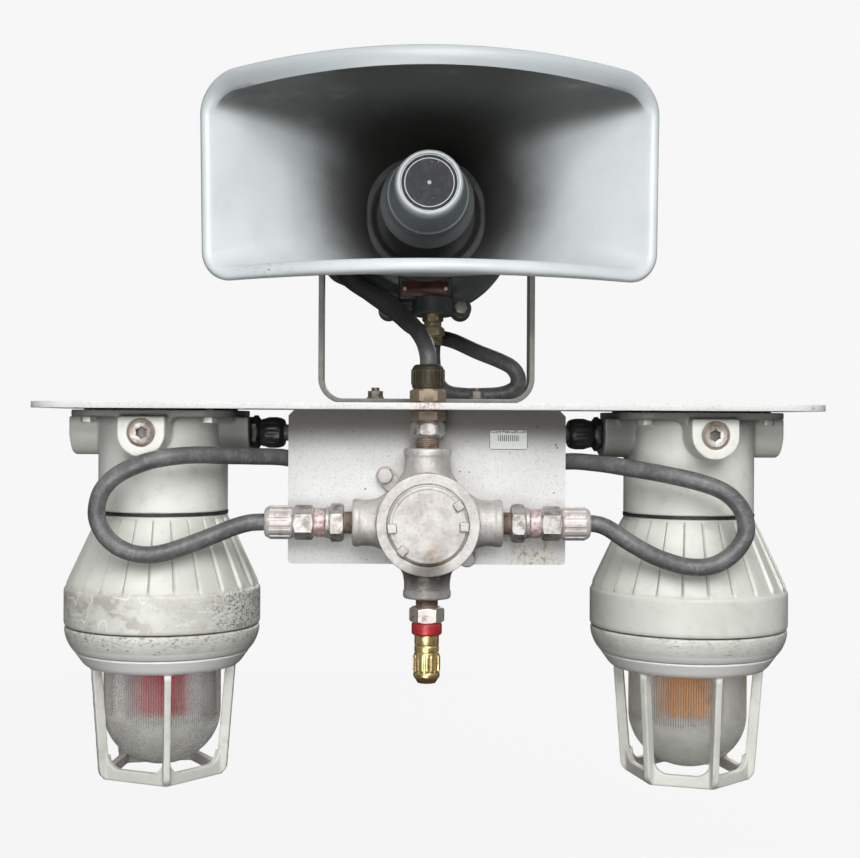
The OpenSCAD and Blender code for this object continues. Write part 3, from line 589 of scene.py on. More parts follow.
def red_ring():
    """Red gland rings: bright on the spare gland, rubbed down to pale metal on the side ones."""
    look = Look("ring_red", metallic=0.15)
    red = look.mix(look.cloud(0.4, 0.7, 6, 6), (0.46, 0.03, 0.035), (0.30, 0.02, 0.025))
    rubbed = look.mix(look.cloud(0.40, 0.60, 5, 7, 0.65), (0.60, 0.52, 0.52), (0.42, 0.24, 0.24))
    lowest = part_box("gland_rings")[0].z
    upper = look.along("Z", lowest + 0.03, lowest + 0.04)
    look.lay(look.mix(upper, red, rubbed))
    look.paint((0.12, 0.08, 0.07), look.cloud(0.58, 0.66, 2, 6, offset=3), 0.5)
    look.gloss(look.noise(6, 5), 0.25, 0.5)
    look.bumps(look.noise(1.5, 4), 0.08)
    return look.material


def cable_rubber():
    """Charcoal rubber with a chalky bloom, pale scuffs along it, and painted shade on the horn's cable up under
    the bell.
    """
    look = Look("cable_rubber")
    look.mottle((0.085, 0.086, 0.089), (0.15, 0.15, 0.149), 0.38, 0.70, 28, 6, 0.6)
    bloom = look.cloud(0.48, 0.66, 5, 8, 0.72, offset=2)
    look.paint((0.27, 0.265, 0.255), bloom, 0.45)
    scuffs = look.both(look.cloud(0.66, 0.72, 3, 5, 0.75, stretch=(0.3, 1, 1), offset=5), 0.6)
    look.paint((0.42, 0.41, 0.39), scuffs)
    # Painted shade on the horn's cable where it runs up under the bell.
    painted_shade = look.both(look.along("Z", 0.032, 0.085), 0.9)
    look.paint((0.016, 0.017, 0.015), painted_shade)
    look.gloss(look.noise(9, 6, offset=4), 0.30, 0.56)
    look.bumps(look.noise(1.6, 5, 0.6), 0.14)
    return look.material


def plain_rubber(name, tone, roughness):
    """Moulded rubber or nylon, slightly uneven and dusty."""
    look = Look(name)
    look.mottle(tone, tuple(c * 2.2 + 0.01 for c in tone), 0.45, 0.75, 6, 6)
    look.gloss(look.noise(5, 5), roughness - 0.08, roughness + 0.12)
    look.bumps(look.noise(1.2, 3), 0.05)
    return look.material


def globe_glass():
    """Pressed glass, greyed by grime, with painted shade in lines between the ribs of its wall and a stippled
    dome.
    """
    look = Look("clear_glass", transmission_weight=0.88, ior=1.38)
    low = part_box("left_globe")[0]
    grime = look.cloud(0.48, 0.72, 11, 8, 0.7)
    look.lay(look.mix(grime, (0.77, 0.78, 0.75), (0.58, 0.59, 0.56)))
    # Dark lines between the wall's ribs: painted shade of the ribbed glass.
    across = look.free("ABSOLUTE", look.axis("X"))
    across = look.free("SUBTRACT", across, STROBES["right"])
    turn = look.free("ARCTAN2", look.axis("Y"), across)
    lines = look.band(look.free("SINE", look.free("MULTIPLY", turn, RIBS)), -0.2, 0.8)
    wall = look.along("Z", low.z + 0.040, low.z + 0.052)
    reach = look.free("SQRT", look.free("ADD", look.free("MULTIPLY", across, across),
                                        look.free("MULTIPLY", look.axis("Y"), look.axis("Y"))))
    outside = look.band(reach, 0.0540, 0.0548)
    look.paint((0.10, 0.105, 0.095), lines, wall, outside, 0.8)
    look.gloss(look.noise(6, 6), 0.16, 0.30)
    dome = look.along("Z", low.z + 0.056, low.z + 0.046)
    look.bumps(look.both(look.grains(1.5), dome), 0.4)
    return look.material


def colour_lens(name, tone, deep, glow):
    """Clear coloured plastic with a glow of its own body colour."""
    look = Look(name, ior=1.49, transmission_weight=0.2, emission_color=(*tone, 1), emission_strength=glow)
    look.mottle(tone, deep, 0.35, 0.7, 14, 5)
    look.gloss(look.noise(5, 4), 0.15, 0.32)
    look.bumps(look.noise(2.5, 3), 0.05)
    return look.material


def circuit_board():
    look = Look("board_green")
    traces = look.cloud(0.5, 0.53, 3.0, 2, 0.5, stretch=(0.3, 1, 1))
    look.lay(look.mix(traces, (0.02, 0.12, 0.05), (0.05, 0.20, 0.09)))
    look.gloss(look.noise(5), 0.25, 0.4)
    look.bumps(traces, 0.05)
    return look.material


def ceramic(name, tone, roughness=0.35):
    look = Look(name)
    look.mottle(tone, tuple(c * 0.86 for c in tone), 0.4, 0.7, 9, 6)
    look.gloss(look.noise(6), roughness - 0.08, roughness + 0.1)
    look.bumps(look.noise(1.5, 3), 0.03)
    return look.material


def badge_print():
    """The horn's disc badge: dark film with a pale hairline ring and a small pale centre."""
    look = Look("badge_film", specular_ior_level=0.2)
    away = look.away(place_on_horn(Vector((0, 0, BADGE_FRONT))))
    look.mottle((0.012, 0.013, 0.017), (0.030, 0.032, 0.038), 0.4, 0.75, 9, 6)
    ring = look.both(look.band(away, 22.3 * MM, 22.6 * MM), look.band(away, 23.4 * MM, 23.1 * MM))
    look.paint((0.62, 0.63, 0.64), ring, 0.75)
    look.paint((0.62, 0.63, 0.64), look.band(away, 2.0 * MM, 1.7 * MM), 0.6)
    worn = look.cloud(0.63, 0.68, 3, 6, 0.75, offset=5)
    look.paint((0.42, 0.43, 0.44), worn, 0.5)
    look.gloss(look.noise(6), 0.42, 0.55)
    look.bumps(look.noise(3, 3), 0.03)
    return look.material


def sticker_print():
    """A pale film label with evenly spaced dark bars and no lettering."""
    look = Look("label_film")
    low, high = label_box()
    look.mottle((0.76, 0.79, 0.74), (0.62, 0.645, 0.60), 0.5, 0.7, 5, 7, 0.7)
    bars = look.add("ShaderNodeTexWave", bands_direction="X")
    bars.inputs["Scale"].default_value = 160
    look.link(look.place, bars.inputs["Vector"])
    across, up = look.axis("X"), look.axis("Z")
    width, height = high.x - low.x, high.z - low.z
    field = look.both(
        look.band(across, low.x + width * 0.22, low.x + width * 0.235),
        look.band(across, low.x + width * 0.78, low.x + width * 0.765),
        look.band(up, low.z + height * 0.40, low.z + height * 0.43),
        look.band(up, low.z + height * 0.74, low.z + height * 0.71))
    look.paint((0.07, 0.07, 0.07), look.band(bars.outputs["Fac"], 0.45, 0.55), field, 0.85)
    line = 0.45 * MM
    inside = look.both(*[
        look.band(way, end + sign * line, end + sign * line * 1.5)
        for way, end, sign in ((across, low.x, 1), (across, high.x, -1), (up, low.z, 1), (up, high.z, -1))])
    head = look.band(up, low.z + height * 0.80, low.z + height * 0.83)
    look.paint((0.06, 0.065, 0.06), head, look.cloud(0.44, 0.52, 0.9, 2), inside, 0.85)
    look.lay(look.mix(inside, (0.09, 0.10, 0.09), look.base))
    look.gloss(look.noise(6), 0.3, 0.45)
    look.bumps(look.noise(4, 3), 0.03)
    return look.material


# ---- Mesh helpers ----

def scaled(matrix):
    """A placing matrix that also turns millimetres into metres."""
    return matrix @ Matrix.Scale(MM, 4)


def rounded(points, steps=4):
    """A profile with round corners. A corner is (across, up), or (across, up, reach) where it is round."""
    out = []
    for i, point in enumerate(points):
        if len(point) < 3 or i in (0, len(points) - 1):
            out.append(tuple(point[:2]))
            continue
        before, here, after = (Vector(points[j][:2]) for j in (i - 1, i, i + 1))
        to_before, to_after = before - here, after - here
        reach = min(point[2], to_before.length * 0.49, to_after.length * 0.49)
        start, end = here + to_before.normalized() * reach, here + to_after.normalized() * reach
        for k in range(steps + 1):
            t = k / steps
            out.append(tuple(start * (1 - t) ** 2 + here * 2 * t * (1 - t) + end * t * t))
    return out


def turned(profile, sides=64, shape=None):
    """Vertices and faces turned about Z from (radius, z) points; shape() may change a radius."""
    verts, rings, faces = [], [], []
    for radius, z in profile:
        ring = []
        for k in range(1 if radius < 1e-6 else sides):
            angle = TAU * k / sides
            r = shape(radius, z, angle) if shape and radius > 1e-6 else radius
            ring.append(len(verts))
            verts.append((r * math.cos(angle), r * math.sin(angle), z))
        rings.append(ring)
    for near, far in zip(rings, rings[1:]):
        for k in range(sides):
            loop = [near[k % len(near)], near[(k + 1) % sides % len(near)],
                    far[(k + 1) % sides % len(far)], far[k % len(far)]]
            loop = list(dict.fromkeys(loop))
            if len(loop) > 2:
                faces.append(loop)
    return verts, faces


def hexagon(flats):
    """shape() of a hexagon whose corners are cut back by the profile's own radius."""
    return lambda r, z, angle: min(r, flats / 2 / math.cos(angle % (math.pi / 3) - math.pi / 6))


def ribs(count, height, low, high, share=0.5, fade=1.5):
    """shape() with upright ribs between low and high."""
    def shape(r, z, angle):
        wave = math.cos(count * angle) + (share - 0.5) * 2
        window = min(1, max(0, (z - low) / fade)) * min(1, max(0, (high - z) / fade))
        return r + height * window * min(1, max(0, 0.5 + 1.6 * wave))
    return shape


def hollow(profile, bore):
    """Close an outer profile with a bore, so that it becomes a tube's whole section."""
    return [(bore, profile[0][1])] + profile + [(bore, profile[-1][1]), (bore, profile[0][1])]


def hex_section(flats, low, high, bore=0.0, chamfer=None):
    """Section of a nut or bolt head with chamfered ends."""
    corner = flats / math.sqrt(3)
    cut = chamfer if chamfer is not None else (corner - flats / 2) * 0.9
    inner = flats / 2 * 0.93
    outer = [(inner, low), (corner, low + cut), (corner, high - cut), (inner, high)]
    if bore:
        return hollow(outer, bore)
    return [(0, low)] + outer + [(0, high)]


def threads(radius, low, high, pitch=1.8, depth=0.55):
    """Outer profile of a threaded stem."""
    count = int((high - low) / pitch)
    out = [(radius - depth, low)]
    for k in range(count):
        out.append((radius, low + (k + 0.5) * pitch))
        out.append((radius - depth, low + (k + 1) * pitch))
    return out + [(radius - depth, high)]


class Shape:
    """Closed solids in millimetres, gathered into one mesh."""

    def __init__(self):
        self.verts, self.faces = [], []

    def add(self, solid, matrix=Matrix()):
        start = len(self.verts)
        verts, faces = solid
        self.verts += [matrix @ Vector(v) for v in verts]
        self.faces += [[start + i for i in face] for face in faces]
        return self

    def make(self, name, matrix=Matrix(), crease=38):
        mesh = bpy.data.meshes.new(name)
        mesh.from_pydata(self.verts, [], self.faces)
        mesh.transform(scaled(matrix))
        return finished(name, mesh, crease)


def finished(name, mesh, crease=38):
    """Weld, face outwards, shade smooth up to the crease angle, and put in the scene."""
    work = bmesh.new()
    work.from_mesh(mesh)
    bmesh.ops.remove_doubles(work, verts=work.verts, dist=1e-6)
    bmesh.ops.dissolve_degenerate(work, dist=1e-7, edges=work.edges)
    bmesh.ops.recalc_face_normals(work, faces=work.faces)
    work.to_mesh(mesh)
    work.free()
    mesh.polygons.foreach_set("use_smooth", [True] * len(mesh.polygons))
    mesh.set_sharp_from_angle(angle=math.radians(crease))
    piece = bpy.data.objects.new(name, mesh)
    bpy.context.scene.collection.objects.link(piece)
    return piece


def turned_object(name, profile, matrix, sides=64, shape=None, crease=38):
    return Shape().add(turned(profile, sides, shape)).make(name, matrix, crease)


def prism(outline, low, high):
    """A straight prism over an outline of (x, y) points, from z = low to z = high."""
    n = len(outline)
    verts = [(x, y, low) for x, y in outline] + [(x, y, high) for x, y in outline]
    faces = [list(range(n))[::-1], list(range(n, 2 * n))]
    faces += [[k, (k + 1) % n, n + (k + 1) % n, n + k] for k in range(n)]
    return verts, faces


def brick(low, high):
    """A block from its lowest to its highest corner."""
    (x0, y0, z0), (x1, y1, z1) = low, high
    return prism([(x0, y0), (x1, y0), (x1, y1), (x0, y1)], z0, z1)


def dress(piece, body, material, slot, *nodes):
    """Give a piece its body and its material, and hide the CAD nodes that it stands for."""
    piece.data.materials.clear()
    piece.data.materials.append(material)
    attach(piece, body)
    if nodes:
        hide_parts(*nodes)
    return piece


def copied(node, extra=None):
    """The CAD node's mesh as a new mesh, with more solids in metres joined to it."""
    mesh = frame["nodes"][node].data.copy()
    work = bmesh.new()
    work.from_mesh(mesh)
    bmesh.ops.remove_doubles(work, verts=work.verts, dist=2e-6)
    fresh = bpy.data.meshes.new(node + "_copy")
    work.to_mesh(fresh)
    work.free()
    if not extra:
        return fresh
    verts = [v.co.copy() for v in fresh.vertices] + [v * MM for v in extra.verts]
    start = len(fresh.vertices)
    faces = [list(p.vertices) for p in fresh.polygons] + [[start + i for i in f] for f in extra.faces]
    joined = bpy.data.meshes.new(node + "_joined")
    joined.from_pydata(verts, [], faces)
    return joined


def cast(name, mesh, voxel, passes, crease=60):
    """Melt solids into one casting with rounded edges: voxels first, then smoothing."""
    work = bmesh.new()
    work.from_mesh(mesh)
    bmesh.ops.recalc_face_normals(work, faces=work.faces)
    work.to_mesh(mesh)
    work.free()
    rough = bpy.data.objects.new(name + "_rough", mesh)
    bpy.context.scene.collection.objects.link(rough)
    melt = rough.modifiers.new("melt", "REMESH")
    melt.mode, melt.voxel_size = "VOXEL", voxel * MM
    smooth = rough.modifiers.new("smooth", "SMOOTH")
    smooth.factor, smooth.iterations = 0.5, passes
    depsgraph = bpy.context.evaluated_depsgraph_get()
    result = bpy.data.meshes.new_from_object(rough.evaluated_get(depsgraph))
    bpy.data.objects.remove(rough)
    return finished(name, result, crease)


def softened(name, node, width, crease=50, segments=2):
    """A copy of a CAD node with its sharp edges rounded."""
    mesh = copied(node)
    work = bmesh.new()
    work.from_mesh(mesh)
    bmesh.ops.dissolve_limit(work, angle_limit=math.radians(0.5), verts=work.verts, edges=work.edges)
    sharp = [e for e in work.edges if len(e.link_faces) == 2 and e.calc_face_angle(0) > math.radians(32)]
    bmesh.ops.bevel(work, geom=sharp, offset=width * MM, segments=segments, profile=0.5,
                    affect="EDGES", clamp_overlap=True)
    bmesh.ops.triangulate(work, faces=[f for f in work.faces if len(f.verts) > 4])
    work.to_mesh(mesh)
    work.free()
    return finished(name, mesh, crease)


# ---- Frames of the parts ----

TURN_X = Matrix.Rotation(math.pi / 2, 4, "X")
BOX_PLACE = Vector((0, middle("conduit_nipples").y, middle("box_cover").z))
STROBES = {"left": middle("left_globe").x, "right": middle("right_globe").x}
HOOD_YAW = math.radians(5)
HUB_DROP = -0.0287
TILT = next(j for j in frame["joints"] if j["name"] == "horn_tilt")
HORN_RISE = math.radians(4.5)


def horn_matrix():
    """Local Z forwards and Y upwards from the tilt pivot."""
    pivot = Matrix.Translation(Vector(TILT["pos_m"]))
    return pivot @ Matrix.Rotation(-HORN_RISE, 4, "X") @ TURN_X


def place_on_horn(point):
    """A point in the horn's millimetres, in metres."""
    return scaled(horn_matrix()) @ point


def box_face_matrix():
    """Local Z to the front from the box's centre line, at the shelf bolts' depth."""
    return Matrix.Translation((BOX_PLACE.x, 0, BOX_PLACE.z)) @ TURN_X


def box_hub_matrix(turn):
    """Local Z outwards along a hub of the box: 0 up, 90 right, 180 down, 270 left."""
    return Matrix.Translation(BOX_PLACE) @ Matrix.Rotation(math.radians(turn), 4, "Y")


def upright_matrix():
    """Local Z upwards through the box's top hub, from the shelf's top face."""
    return Matrix.Translation((BOX_PLACE.x, BOX_PLACE.y, 0))


def strobe_matrix(side):
    return Matrix.Translation((STROBES[side], 0, 0))


def hub_matrix(side, hub):
    """Local Z outwards along a hood hub: 0 is the inner one and 1 the front one."""
    sign = 1 if side == "right" else -1
    turn = math.pi + hub * math.pi / 2 if sign > 0 else -hub * math.pi / 2
    place = strobe_matrix(side) @ Matrix.Rotation(sign * HOOD_YAW, 4, "Z") @ Matrix.Rotation(turn, 4, "Z")
    return place @ Matrix.Translation((0, 0, HUB_DROP)) @ Matrix.Rotation(math.pi / 2, 4, "Y")


# ---- Cables ----

CABLE_R = 8
LEFT_ROUTE = [
    (-147, -64, -112), (-157, -64, -112), (-168, -66, -113), (-182, -71, -117),
    (-197, -78, -123), (-218, -86, -131), (-240, -94, -138), (-258, -98, -140), (-276, -99, -136),
    (-291, -99, -126), (-300, -99, -112), (-302, -99, -98), (-297, -99, -81),
    (-283, -99, -67), (-260, -99, -56), (-238, -96, -51), (-215, -84, -49),
    (-190, -66, -50), (-164, -46, -51), (-134, -26, -53), (-110, -14, -62),
    (-88, 2, -76), (-68, 24, -76), (-62, 36, -56), (-74, 24, -36),
    (-98, 0, -29), (-121, -11.9, -28.7), (-142, -10.06, -28.7)]
RIGHT_ROUTE = [
    (147, -64, -112), (157, -64, -112), (167, -66, -115), (178, -71, -122), (190, -77, -130),
    (211, -88, -141), (236, -98, -148), (258, -101, -147), (276, -101, -137),
    (288, -100, -121), (289, -99, -106), (283, -98, -92), (270, -97, -80),
    (250, -94, -72), (220, -84, -65), (190, -66, -60), (162, -46, -56),
    (134, -26, -55), (110, -14, -62), (88, 2, -76), (68, 24, -76),
    (62, 36, -56), (74, 24, -36), (98, 0, -29), (121, -11.9, -28.7), (142, -10.06, -28.7)]
HORN_ROUTE = [
    (0, -64, 30), (0, -64, 44), (-5, -52, 61), (-17, -30, 78), (-34, -12, 95),
    (-57, 4, 109), (-73, 14, 120), (-84, 26, 131), (-91, 42, 141), (-95, 58, 146),
    (-96.5, 69.5, 142), (-90.5, 79, 134.5), (-79, 79, 129), (-67, 74, 121), (-54, 68, 111),
    (-40, 66, 101), (-26, 70.4, 90.4), (-14, 82, 81), (0, 94, 76), (16, 97, 71), (32, 89, 66),
    (54, 74, 55), (75, 63, 46), (89, 58, 38), (95, 57, 27), (92, 56, 17), (79, 56, 11),
    (60, 56, 9.5), (40, 57, 9.5), (22, 60, 13), (11, 65, 26), (8, 69.3, 46), (8, 70.4, 60.4)]


def smooth_route(points, cuts=6):
    """A curve through the points, with cuts steps between each pair."""
    p = [Vector(q) for q in points]
    p = [p[0] * 2 - p[1]] + p + [p[-1] * 2 - p[-2]]
    out = []
    for i in range(1, len(p) - 2):
        a, b, c, d = p[i - 1:i + 3]
        for k in range(cuts):
            t = k / cuts
            out.append(0.5 * (2 * b + (c - a) * t + (2 * a - 5 * b + 4 * c - d) * t * t
                              + (3 * b - a - 3 * c + d) * t ** 3))
    return out + [p[-2]]


def ring_faces(spans, n, rings):
    """Faces between rings of n points each; a span past the last ring comes back to the first."""
    return [[i * n + k, i * n + (k + 1) % n, (i + 1) % rings * n + (k + 1) % n, (i + 1) % rings * n + k]
            for i in range(spans) for k in range(n)]


def swept(points, section, up=Vector((0, 1, 0.2))):
    """A closed outline of (side, up) offsets swept along points without twisting, with flat ends."""
    verts, n, side = [], len(section), up
    for i, here in enumerate(points):
        ahead = (points[min(i + 1, len(points) - 1)] - points[max(i - 1, 0)]).normalized()
        side = (side - ahead * side.dot(ahead)).normalized()
        other = ahead.cross(side)
        verts += [tuple(here + side * a + other * b) for a, b in section]
    last = (len(points) - 1) * n
    faces = ring_faces(len(points) - 1, n, len(points))
    faces += [list(range(n))[::-1], list(range(last, last + n))]
    return verts, faces


def circle(radius, sides):
    return [(radius * math.cos(TAU * k / sides), radius * math.sin(TAU * k / sides)) for k in range(sides)]


def cable_jacket(name, route):
    return Shape().add(swept(smooth_route(route), circle(CABLE_R, 28))).make(name + "_jacket")


def make_cables(rubber):
    """Three cables held at both ends; the horn's runs between its gland and the driver and rides on no body."""
    for name, route in (("left_cable", LEFT_ROUTE), ("right_cable", RIGHT_ROUTE)):
        dress(cable_jacket(name, route), "station", rubber, "cable_rubber", name)
    lead = cable_jacket("horn_cable", HORN_ROUTE)
    lead.data.materials.append(rubber)
    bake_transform(lead)
    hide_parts("horn_cable")


# ---- Strobes ----

FLUTES = 24
HOUSING_PROFILE = [
    (55.8, -93.8), (55.8, -107.8), (61.7, -107.8, 1), (62.7, -108.8, 1), (62.9, -111), (66, -118),
    (70, -127), (74, -136), (78, -145), (82, -154), (86, -163), (89, -170), (91.3, -175), (92.6, -177.6),
    (94.4, -179.2, 1), (95, -181.5, 2), (95, -212, 1.4), (94, -214.6, 1), (92, -214.8), (82, -214.8),
    (82, -236), (66, -236), (66, -226), (58, -226), (58, -221), (86, -208), (86, -184), (52, -115.8),
    (52, -93.8), (55.8, -93.8)]


def denser(profile, step):
    """A profile with points added so that none is further than step from the next."""
    out = [profile[0]]
    for a, b in zip(profile, profile[1:]):
        count = max(1, math.ceil((Vector(b) - Vector(a)).length / step))
        out += [tuple(Vector(a).lerp(Vector(b), k / count)) for k in range(1, count + 1)]
    return out


def flute(r, z, angle):
    """Raise each flute steeply at its left edge and let it fall away to the right."""
    if r < 60 or z > -109.5 or z < -179:
        return r
    phase = (angle * FLUTES / TAU) % 1
    ridge = min(1, phase / 0.10) * (1 - 0.92 * min(1, max(0, (phase - 0.16) / 0.84)))
    start = min(1, (-109.5 - z) / 5)
    end = min(1, (z + 179) / 6)
    return r - 1.4 * start * end + 3.6 * ridge * start * end * (0.62 + 0.38 * (r - 62) / 30)


def make_housing(side, paint):
    profile = denser(rounded(HOUSING_PROFILE), 2.5)
    piece = turned_object(side + "_housing_shell", profile, strobe_matrix(side), FLUTES * 20, flute, 30)
    dress(piece, "station", paint, "strobe_paint", side + "_housing")


def make_lens_ring(side, paint):
    profile = [
        (82.3, -216), (93, -216, 1), (94.3, -217.2, 1), (94.3, -221, 3), (92.6, -228, 5), (89.4, -234.6, 5),
        (85.8, -239.2, 0.8), (84.5, -239.5), (73, -239.5), (73, -237.3), (82.3, -237.3), (82.3, -216)]
    piece = turned_object(side + "_ring_shell", rounded(profile), strobe_matrix(side), 192)
    dress(piece, side + "_ring", paint, "strobe_paint", side + "_lens_ring")


GUARD_BARS = {"left": 5, "right": 6}
GUARD_TURN = 13


def inner_corner(reach):
    """Outline that fills a right-angled corner with a hollow curve."""
    arc = [math.pi / 12 * k for k in range(7)]
    curve = [(reach * (1 - math.sin(a)), reach * (1 - math.cos(a))) for a in arc]
    return [(-4, -3), (reach, -3)] + curve + [(-4, reach * 0.6)]


def make_guard(side, paint):
    """The guard: a lip under the ring, upright bars and a flat-sided hoop, melted into one casting."""
    bars = GUARD_BARS[side]
    top_r, low_r, depth, thick, foot_r = 72.5, 63.5, 10.5, 6.5, 10
    low, hoop = -362, 11
    solid = Shape()
    lip = rounded([
        (73, -240), (83.6, -240, 1), (84.6, -241, 1), (80.5, -246.5, 3), (76.5, -252, 3), (72.5, -255, 2),
        (59, -255), (59, -244.3), (73, -244.3), (73, -240)])
    solid.add(turned(lip, 144))
    corner = low_r - 5.5
    span = 2 * corner * math.sin(math.pi / bars)
    mid = corner * math.cos(math.pi / bars)
    foot = low_r + 1 - foot_r
    quarter_turn = [math.pi / 12 * k for k in range(7)]
    bar = [(top_r - depth + 1, -250), (top_r, -250)]
    bar += [(foot + foot_r * math.cos(a), low + foot_r * (1 - math.sin(a))) for a in quarter_turn]
    bar += [(low_r - depth + 1, low)]
    post = [(0, low), (thick / 2 + 1, low), (thick / 2 + 1, low + hoop), (0, low + hoop)]
    for k in range(bars):
        turn = Matrix.Rotation(math.radians(GUARD_TURN - 90 + k * 360 / bars), 4, "Z")
        solid.add(prism(bar, -thick / 2, thick / 2), turn @ TURN_X)
        solid.add(turned(post, 24), turn @ Matrix.Translation((corner - thick / 2 + 1, 0, 0)))
        flank = turn @ Matrix.Rotation(math.pi / bars, 4, "Z")
        inner = mid - thick + 2
        solid.add(brick((inner, -span / 2, low), (inner + thick, span / 2, low + hoop)), flank)
        for sign in (-1, 1):
            fill = prism(inner_corner(13), 0, thick)
            # upwards and inwards from the hoop's top, where it meets the bar
            stand = Matrix(((0, 0, 1, inner), (-sign, 0, 0, sign * (span / 2 - thick / 2)),
                            (0, 1, 0, low + hoop), (0, 0, 0, 1)))
            solid.add(fill, flank @ stand)
    mesh = bpy.data.meshes.new(side + "_guard_rough")
    mesh.from_pydata(solid.verts, [], solid.faces)
    mesh.transform(scaled(strobe_matrix(side)))
    piece = cast(side + "_guard_casting", mesh, 0.85, 4)
    dress(piece, side + "_ring", paint, "strobe_paint", side + "_guard")


RIBS = 150


def make_globe(side, glass):
    """A pressed glass globe: fine upright ribs down its wall, and a round dome."""
    radius, wall, shoulder, low = 56.8, 4, -300, -352
    count, height = RIBS, 1.0
    dome = shoulder - low
    turns = [math.pi / 2 * k / 22 for k in range(1, 23)]
    outer = [(radius * math.cos(a), shoulder - dome * math.sin(a)) for a in turns[:-1]] + [(0, low)]
    inner = [(0, low + wall)] + [((radius - wall) * math.cos(a), shoulder - (dome - wall) * math.sin(a))
                                 for a in reversed(turns[:-1])]
    sides_down = [(radius, -244 - 4 * k) for k in range(15)]
    profile = [(72, -238), (72, -244), (radius + 3, -244)] + sides_down + outer + inner
    profile += [(radius - wall, shoulder), (radius - wall, -238), (72, -238)]

    def ribbed(r, z, angle):
        if r < radius * 0.72 or r > radius + 1 or z > -246:
            return r
        end = min(1, max(0, (z - shoulder + 16) / 16))
        return r + height * end * (0.5 * math.cos(count * angle) - 0.5)
    piece = turned_object(side + "_globe_glass", profile, strobe_matrix(side), count * 4, ribbed, 60)
    dress(piece, side + "_ring", glass, "clear_glass", side + "_globe")


def make_color_lens(side, plastic, slot):
    """A ribbed coloured cup round the flash tube."""
    profile = rounded([(27.3, -249), (29.4, -249, 0.5), (29.8, -297, 3), (24, -304, 3), (0, -304)])
    profile += [(0, -301.5), (22, -301.5), (27.3, -296), (27.3, -249)]
    shape = ribs(24, 1.2, -303, -250, 0.35)
    piece = turned_object(side + "_color_cup", denser(profile, 4), strobe_matrix(side), 240,
                          lambda r, z, a: shape(r, z, a) if r > 28 else r)
    dress(piece, "station", plastic, slot, side + "_color_lens")


def make_hood(side, paint):
    """The hood: the CAD casting with hollow curves where each hub meets the top flange."""
    reach, flange_low, hub_r, start, end = 9, -14, 22.5, 45, 74
    extra = Shape()
    for hub in range(4):
        for sign in (-1, 1):
            fill = prism(inner_corner(reach), start, end)
            # across the hub, then down from the flange
            stand = Matrix(((0, 1, 0, HUB_DROP / MM - flange_low), (sign, 0, 0, sign * hub_r), (0, 0, 1, 0),
                            (0, 0, 0, 1)))
            extra.add(fill, to_millimetres(hub_matrix(side, hub)) @ stand)
    piece = cast(side + "_hood_casting", copied(side + "_hood", extra), 1.1, 5)
    dress(piece, "station", paint, "strobe_paint", side + "_hood")


def to_millimetres(matrix):
    """The same placing matrix with its shift in millimetres."""
    out = matrix.copy()
    out.translation = matrix.translation / MM
    return out


def make_plugs(steel, rust):
    """Recessed-hex plugs in the hoods' spare hubs."""
    radius, face, low, socket, deep = 13.0, 87, 71, 9.5, 79
    profile = [(0, low), (radius, low)] + threads(radius, low, face - 2.4, 1.6, 0.4)
    profile += rounded([(radius, face - 2.2), (radius, face, 1.2), (9.8, face, 0.6), (9.2, face - 0.7, 0.6),
                        (socket / math.sqrt(3) + 1.2, face - 0.7, 0.4)])
    profile += [(socket / math.sqrt(3), face - 1.6), (socket / math.sqrt(3), deep), (0, deep)]
    hexed = hexagon(socket)
    solid = Shape()
    for side in STROBES:
        for hub in (1, 2, 3):
            shape = lambda r, z, a: hexed(r, z, a) if r < socket / math.sqrt(3) + 0.1 else r
            solid.add(turned(profile, 72, shape), to_millimetres(hub_matrix(side, hub)))
    piece = solid.make("hood_plugs_turned")
    dress(piece, "station", steel, "zinc_steel", "hood_plugs")
    piece.data.materials.append(rust)
    axes = [(hub_matrix(side, hub).translation, hub_matrix(side, hub).col[2].xyz) for side in STROBES
            for hub in (1, 2, 3)]
    for face in piece.data.polygons:
        off = min((face.center - at - way * (face.center - at).dot(way)).length for at, way in axes
                  if (face.center - at).dot(way) > 0.04)
        face.material_index = int(off > (radius - 2.4) * MM)


def make_hood_glands(nylon):
    """Black cable glands in the hoods' inner hubs."""
    face = 88
    body = rounded([(5, face - 12), (13.05, face - 12), (13.05, face), (12.9, face + 0.1)])
    nut = hex_section(29, face, face + 8, 6)
    dome = hollow(rounded([(12, face + 8), (15, face + 14), (15, face + 15), (15, face + 29, 1),
                           (12, face + 32, 0.5), (10, face + 32)]), CABLE_R + 0.6)
    solid = Shape()
    for side in STROBES:
        place = to_millimetres(hub_matrix(side, 0))
        solid.add(turned(hollow(body, 5), 48), place)
        solid.add(turned(nut, 96, hexagon(29)), place)
        grip = ribs(16, 0.7, face + 14.5, face + 27)
        solid.add(turned(denser(dome, 2), 96, lambda r, z, a: grip(r, z, a) - 0.7 if r > 14 else r), place)
    piece = solid.make("hood_glands_moulded")
    dress(piece, "station", nylon, "black_nylon", "hood_glands")


# ---- Conduit box and its fittings ----

def make_box(metal):
    """The box body: the CAD casting, with each hub swelling into the round body and beaded at its end."""
    swell = hollow([(22.2, 36), (29, 38), (25.2, 43), (22.6, 48), (21.4, 56)], 11.2)
    bead = hollow([(21.5, 62), (22.4, 64), (22.4, 68), (21.4, 69.9)], 17)
    extra = Shape()
    for section in (swell, bead):
        for turn in (0, 90, 180, 270):
            extra.add(turned(section, 64), to_millimetres(box_hub_matrix(turn)))
    plate_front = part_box("back_plate")[0].y / MM
    for v in extra.verts:
        v.y = min(v.y, plate_front)
    piece = cast("box_casting", copied("box_body", extra), 0.8, 5)
    dress(piece, "station", metal, "cast_metal", "box_body")


COVER_LUGS = (-2, 33, 185, 225)


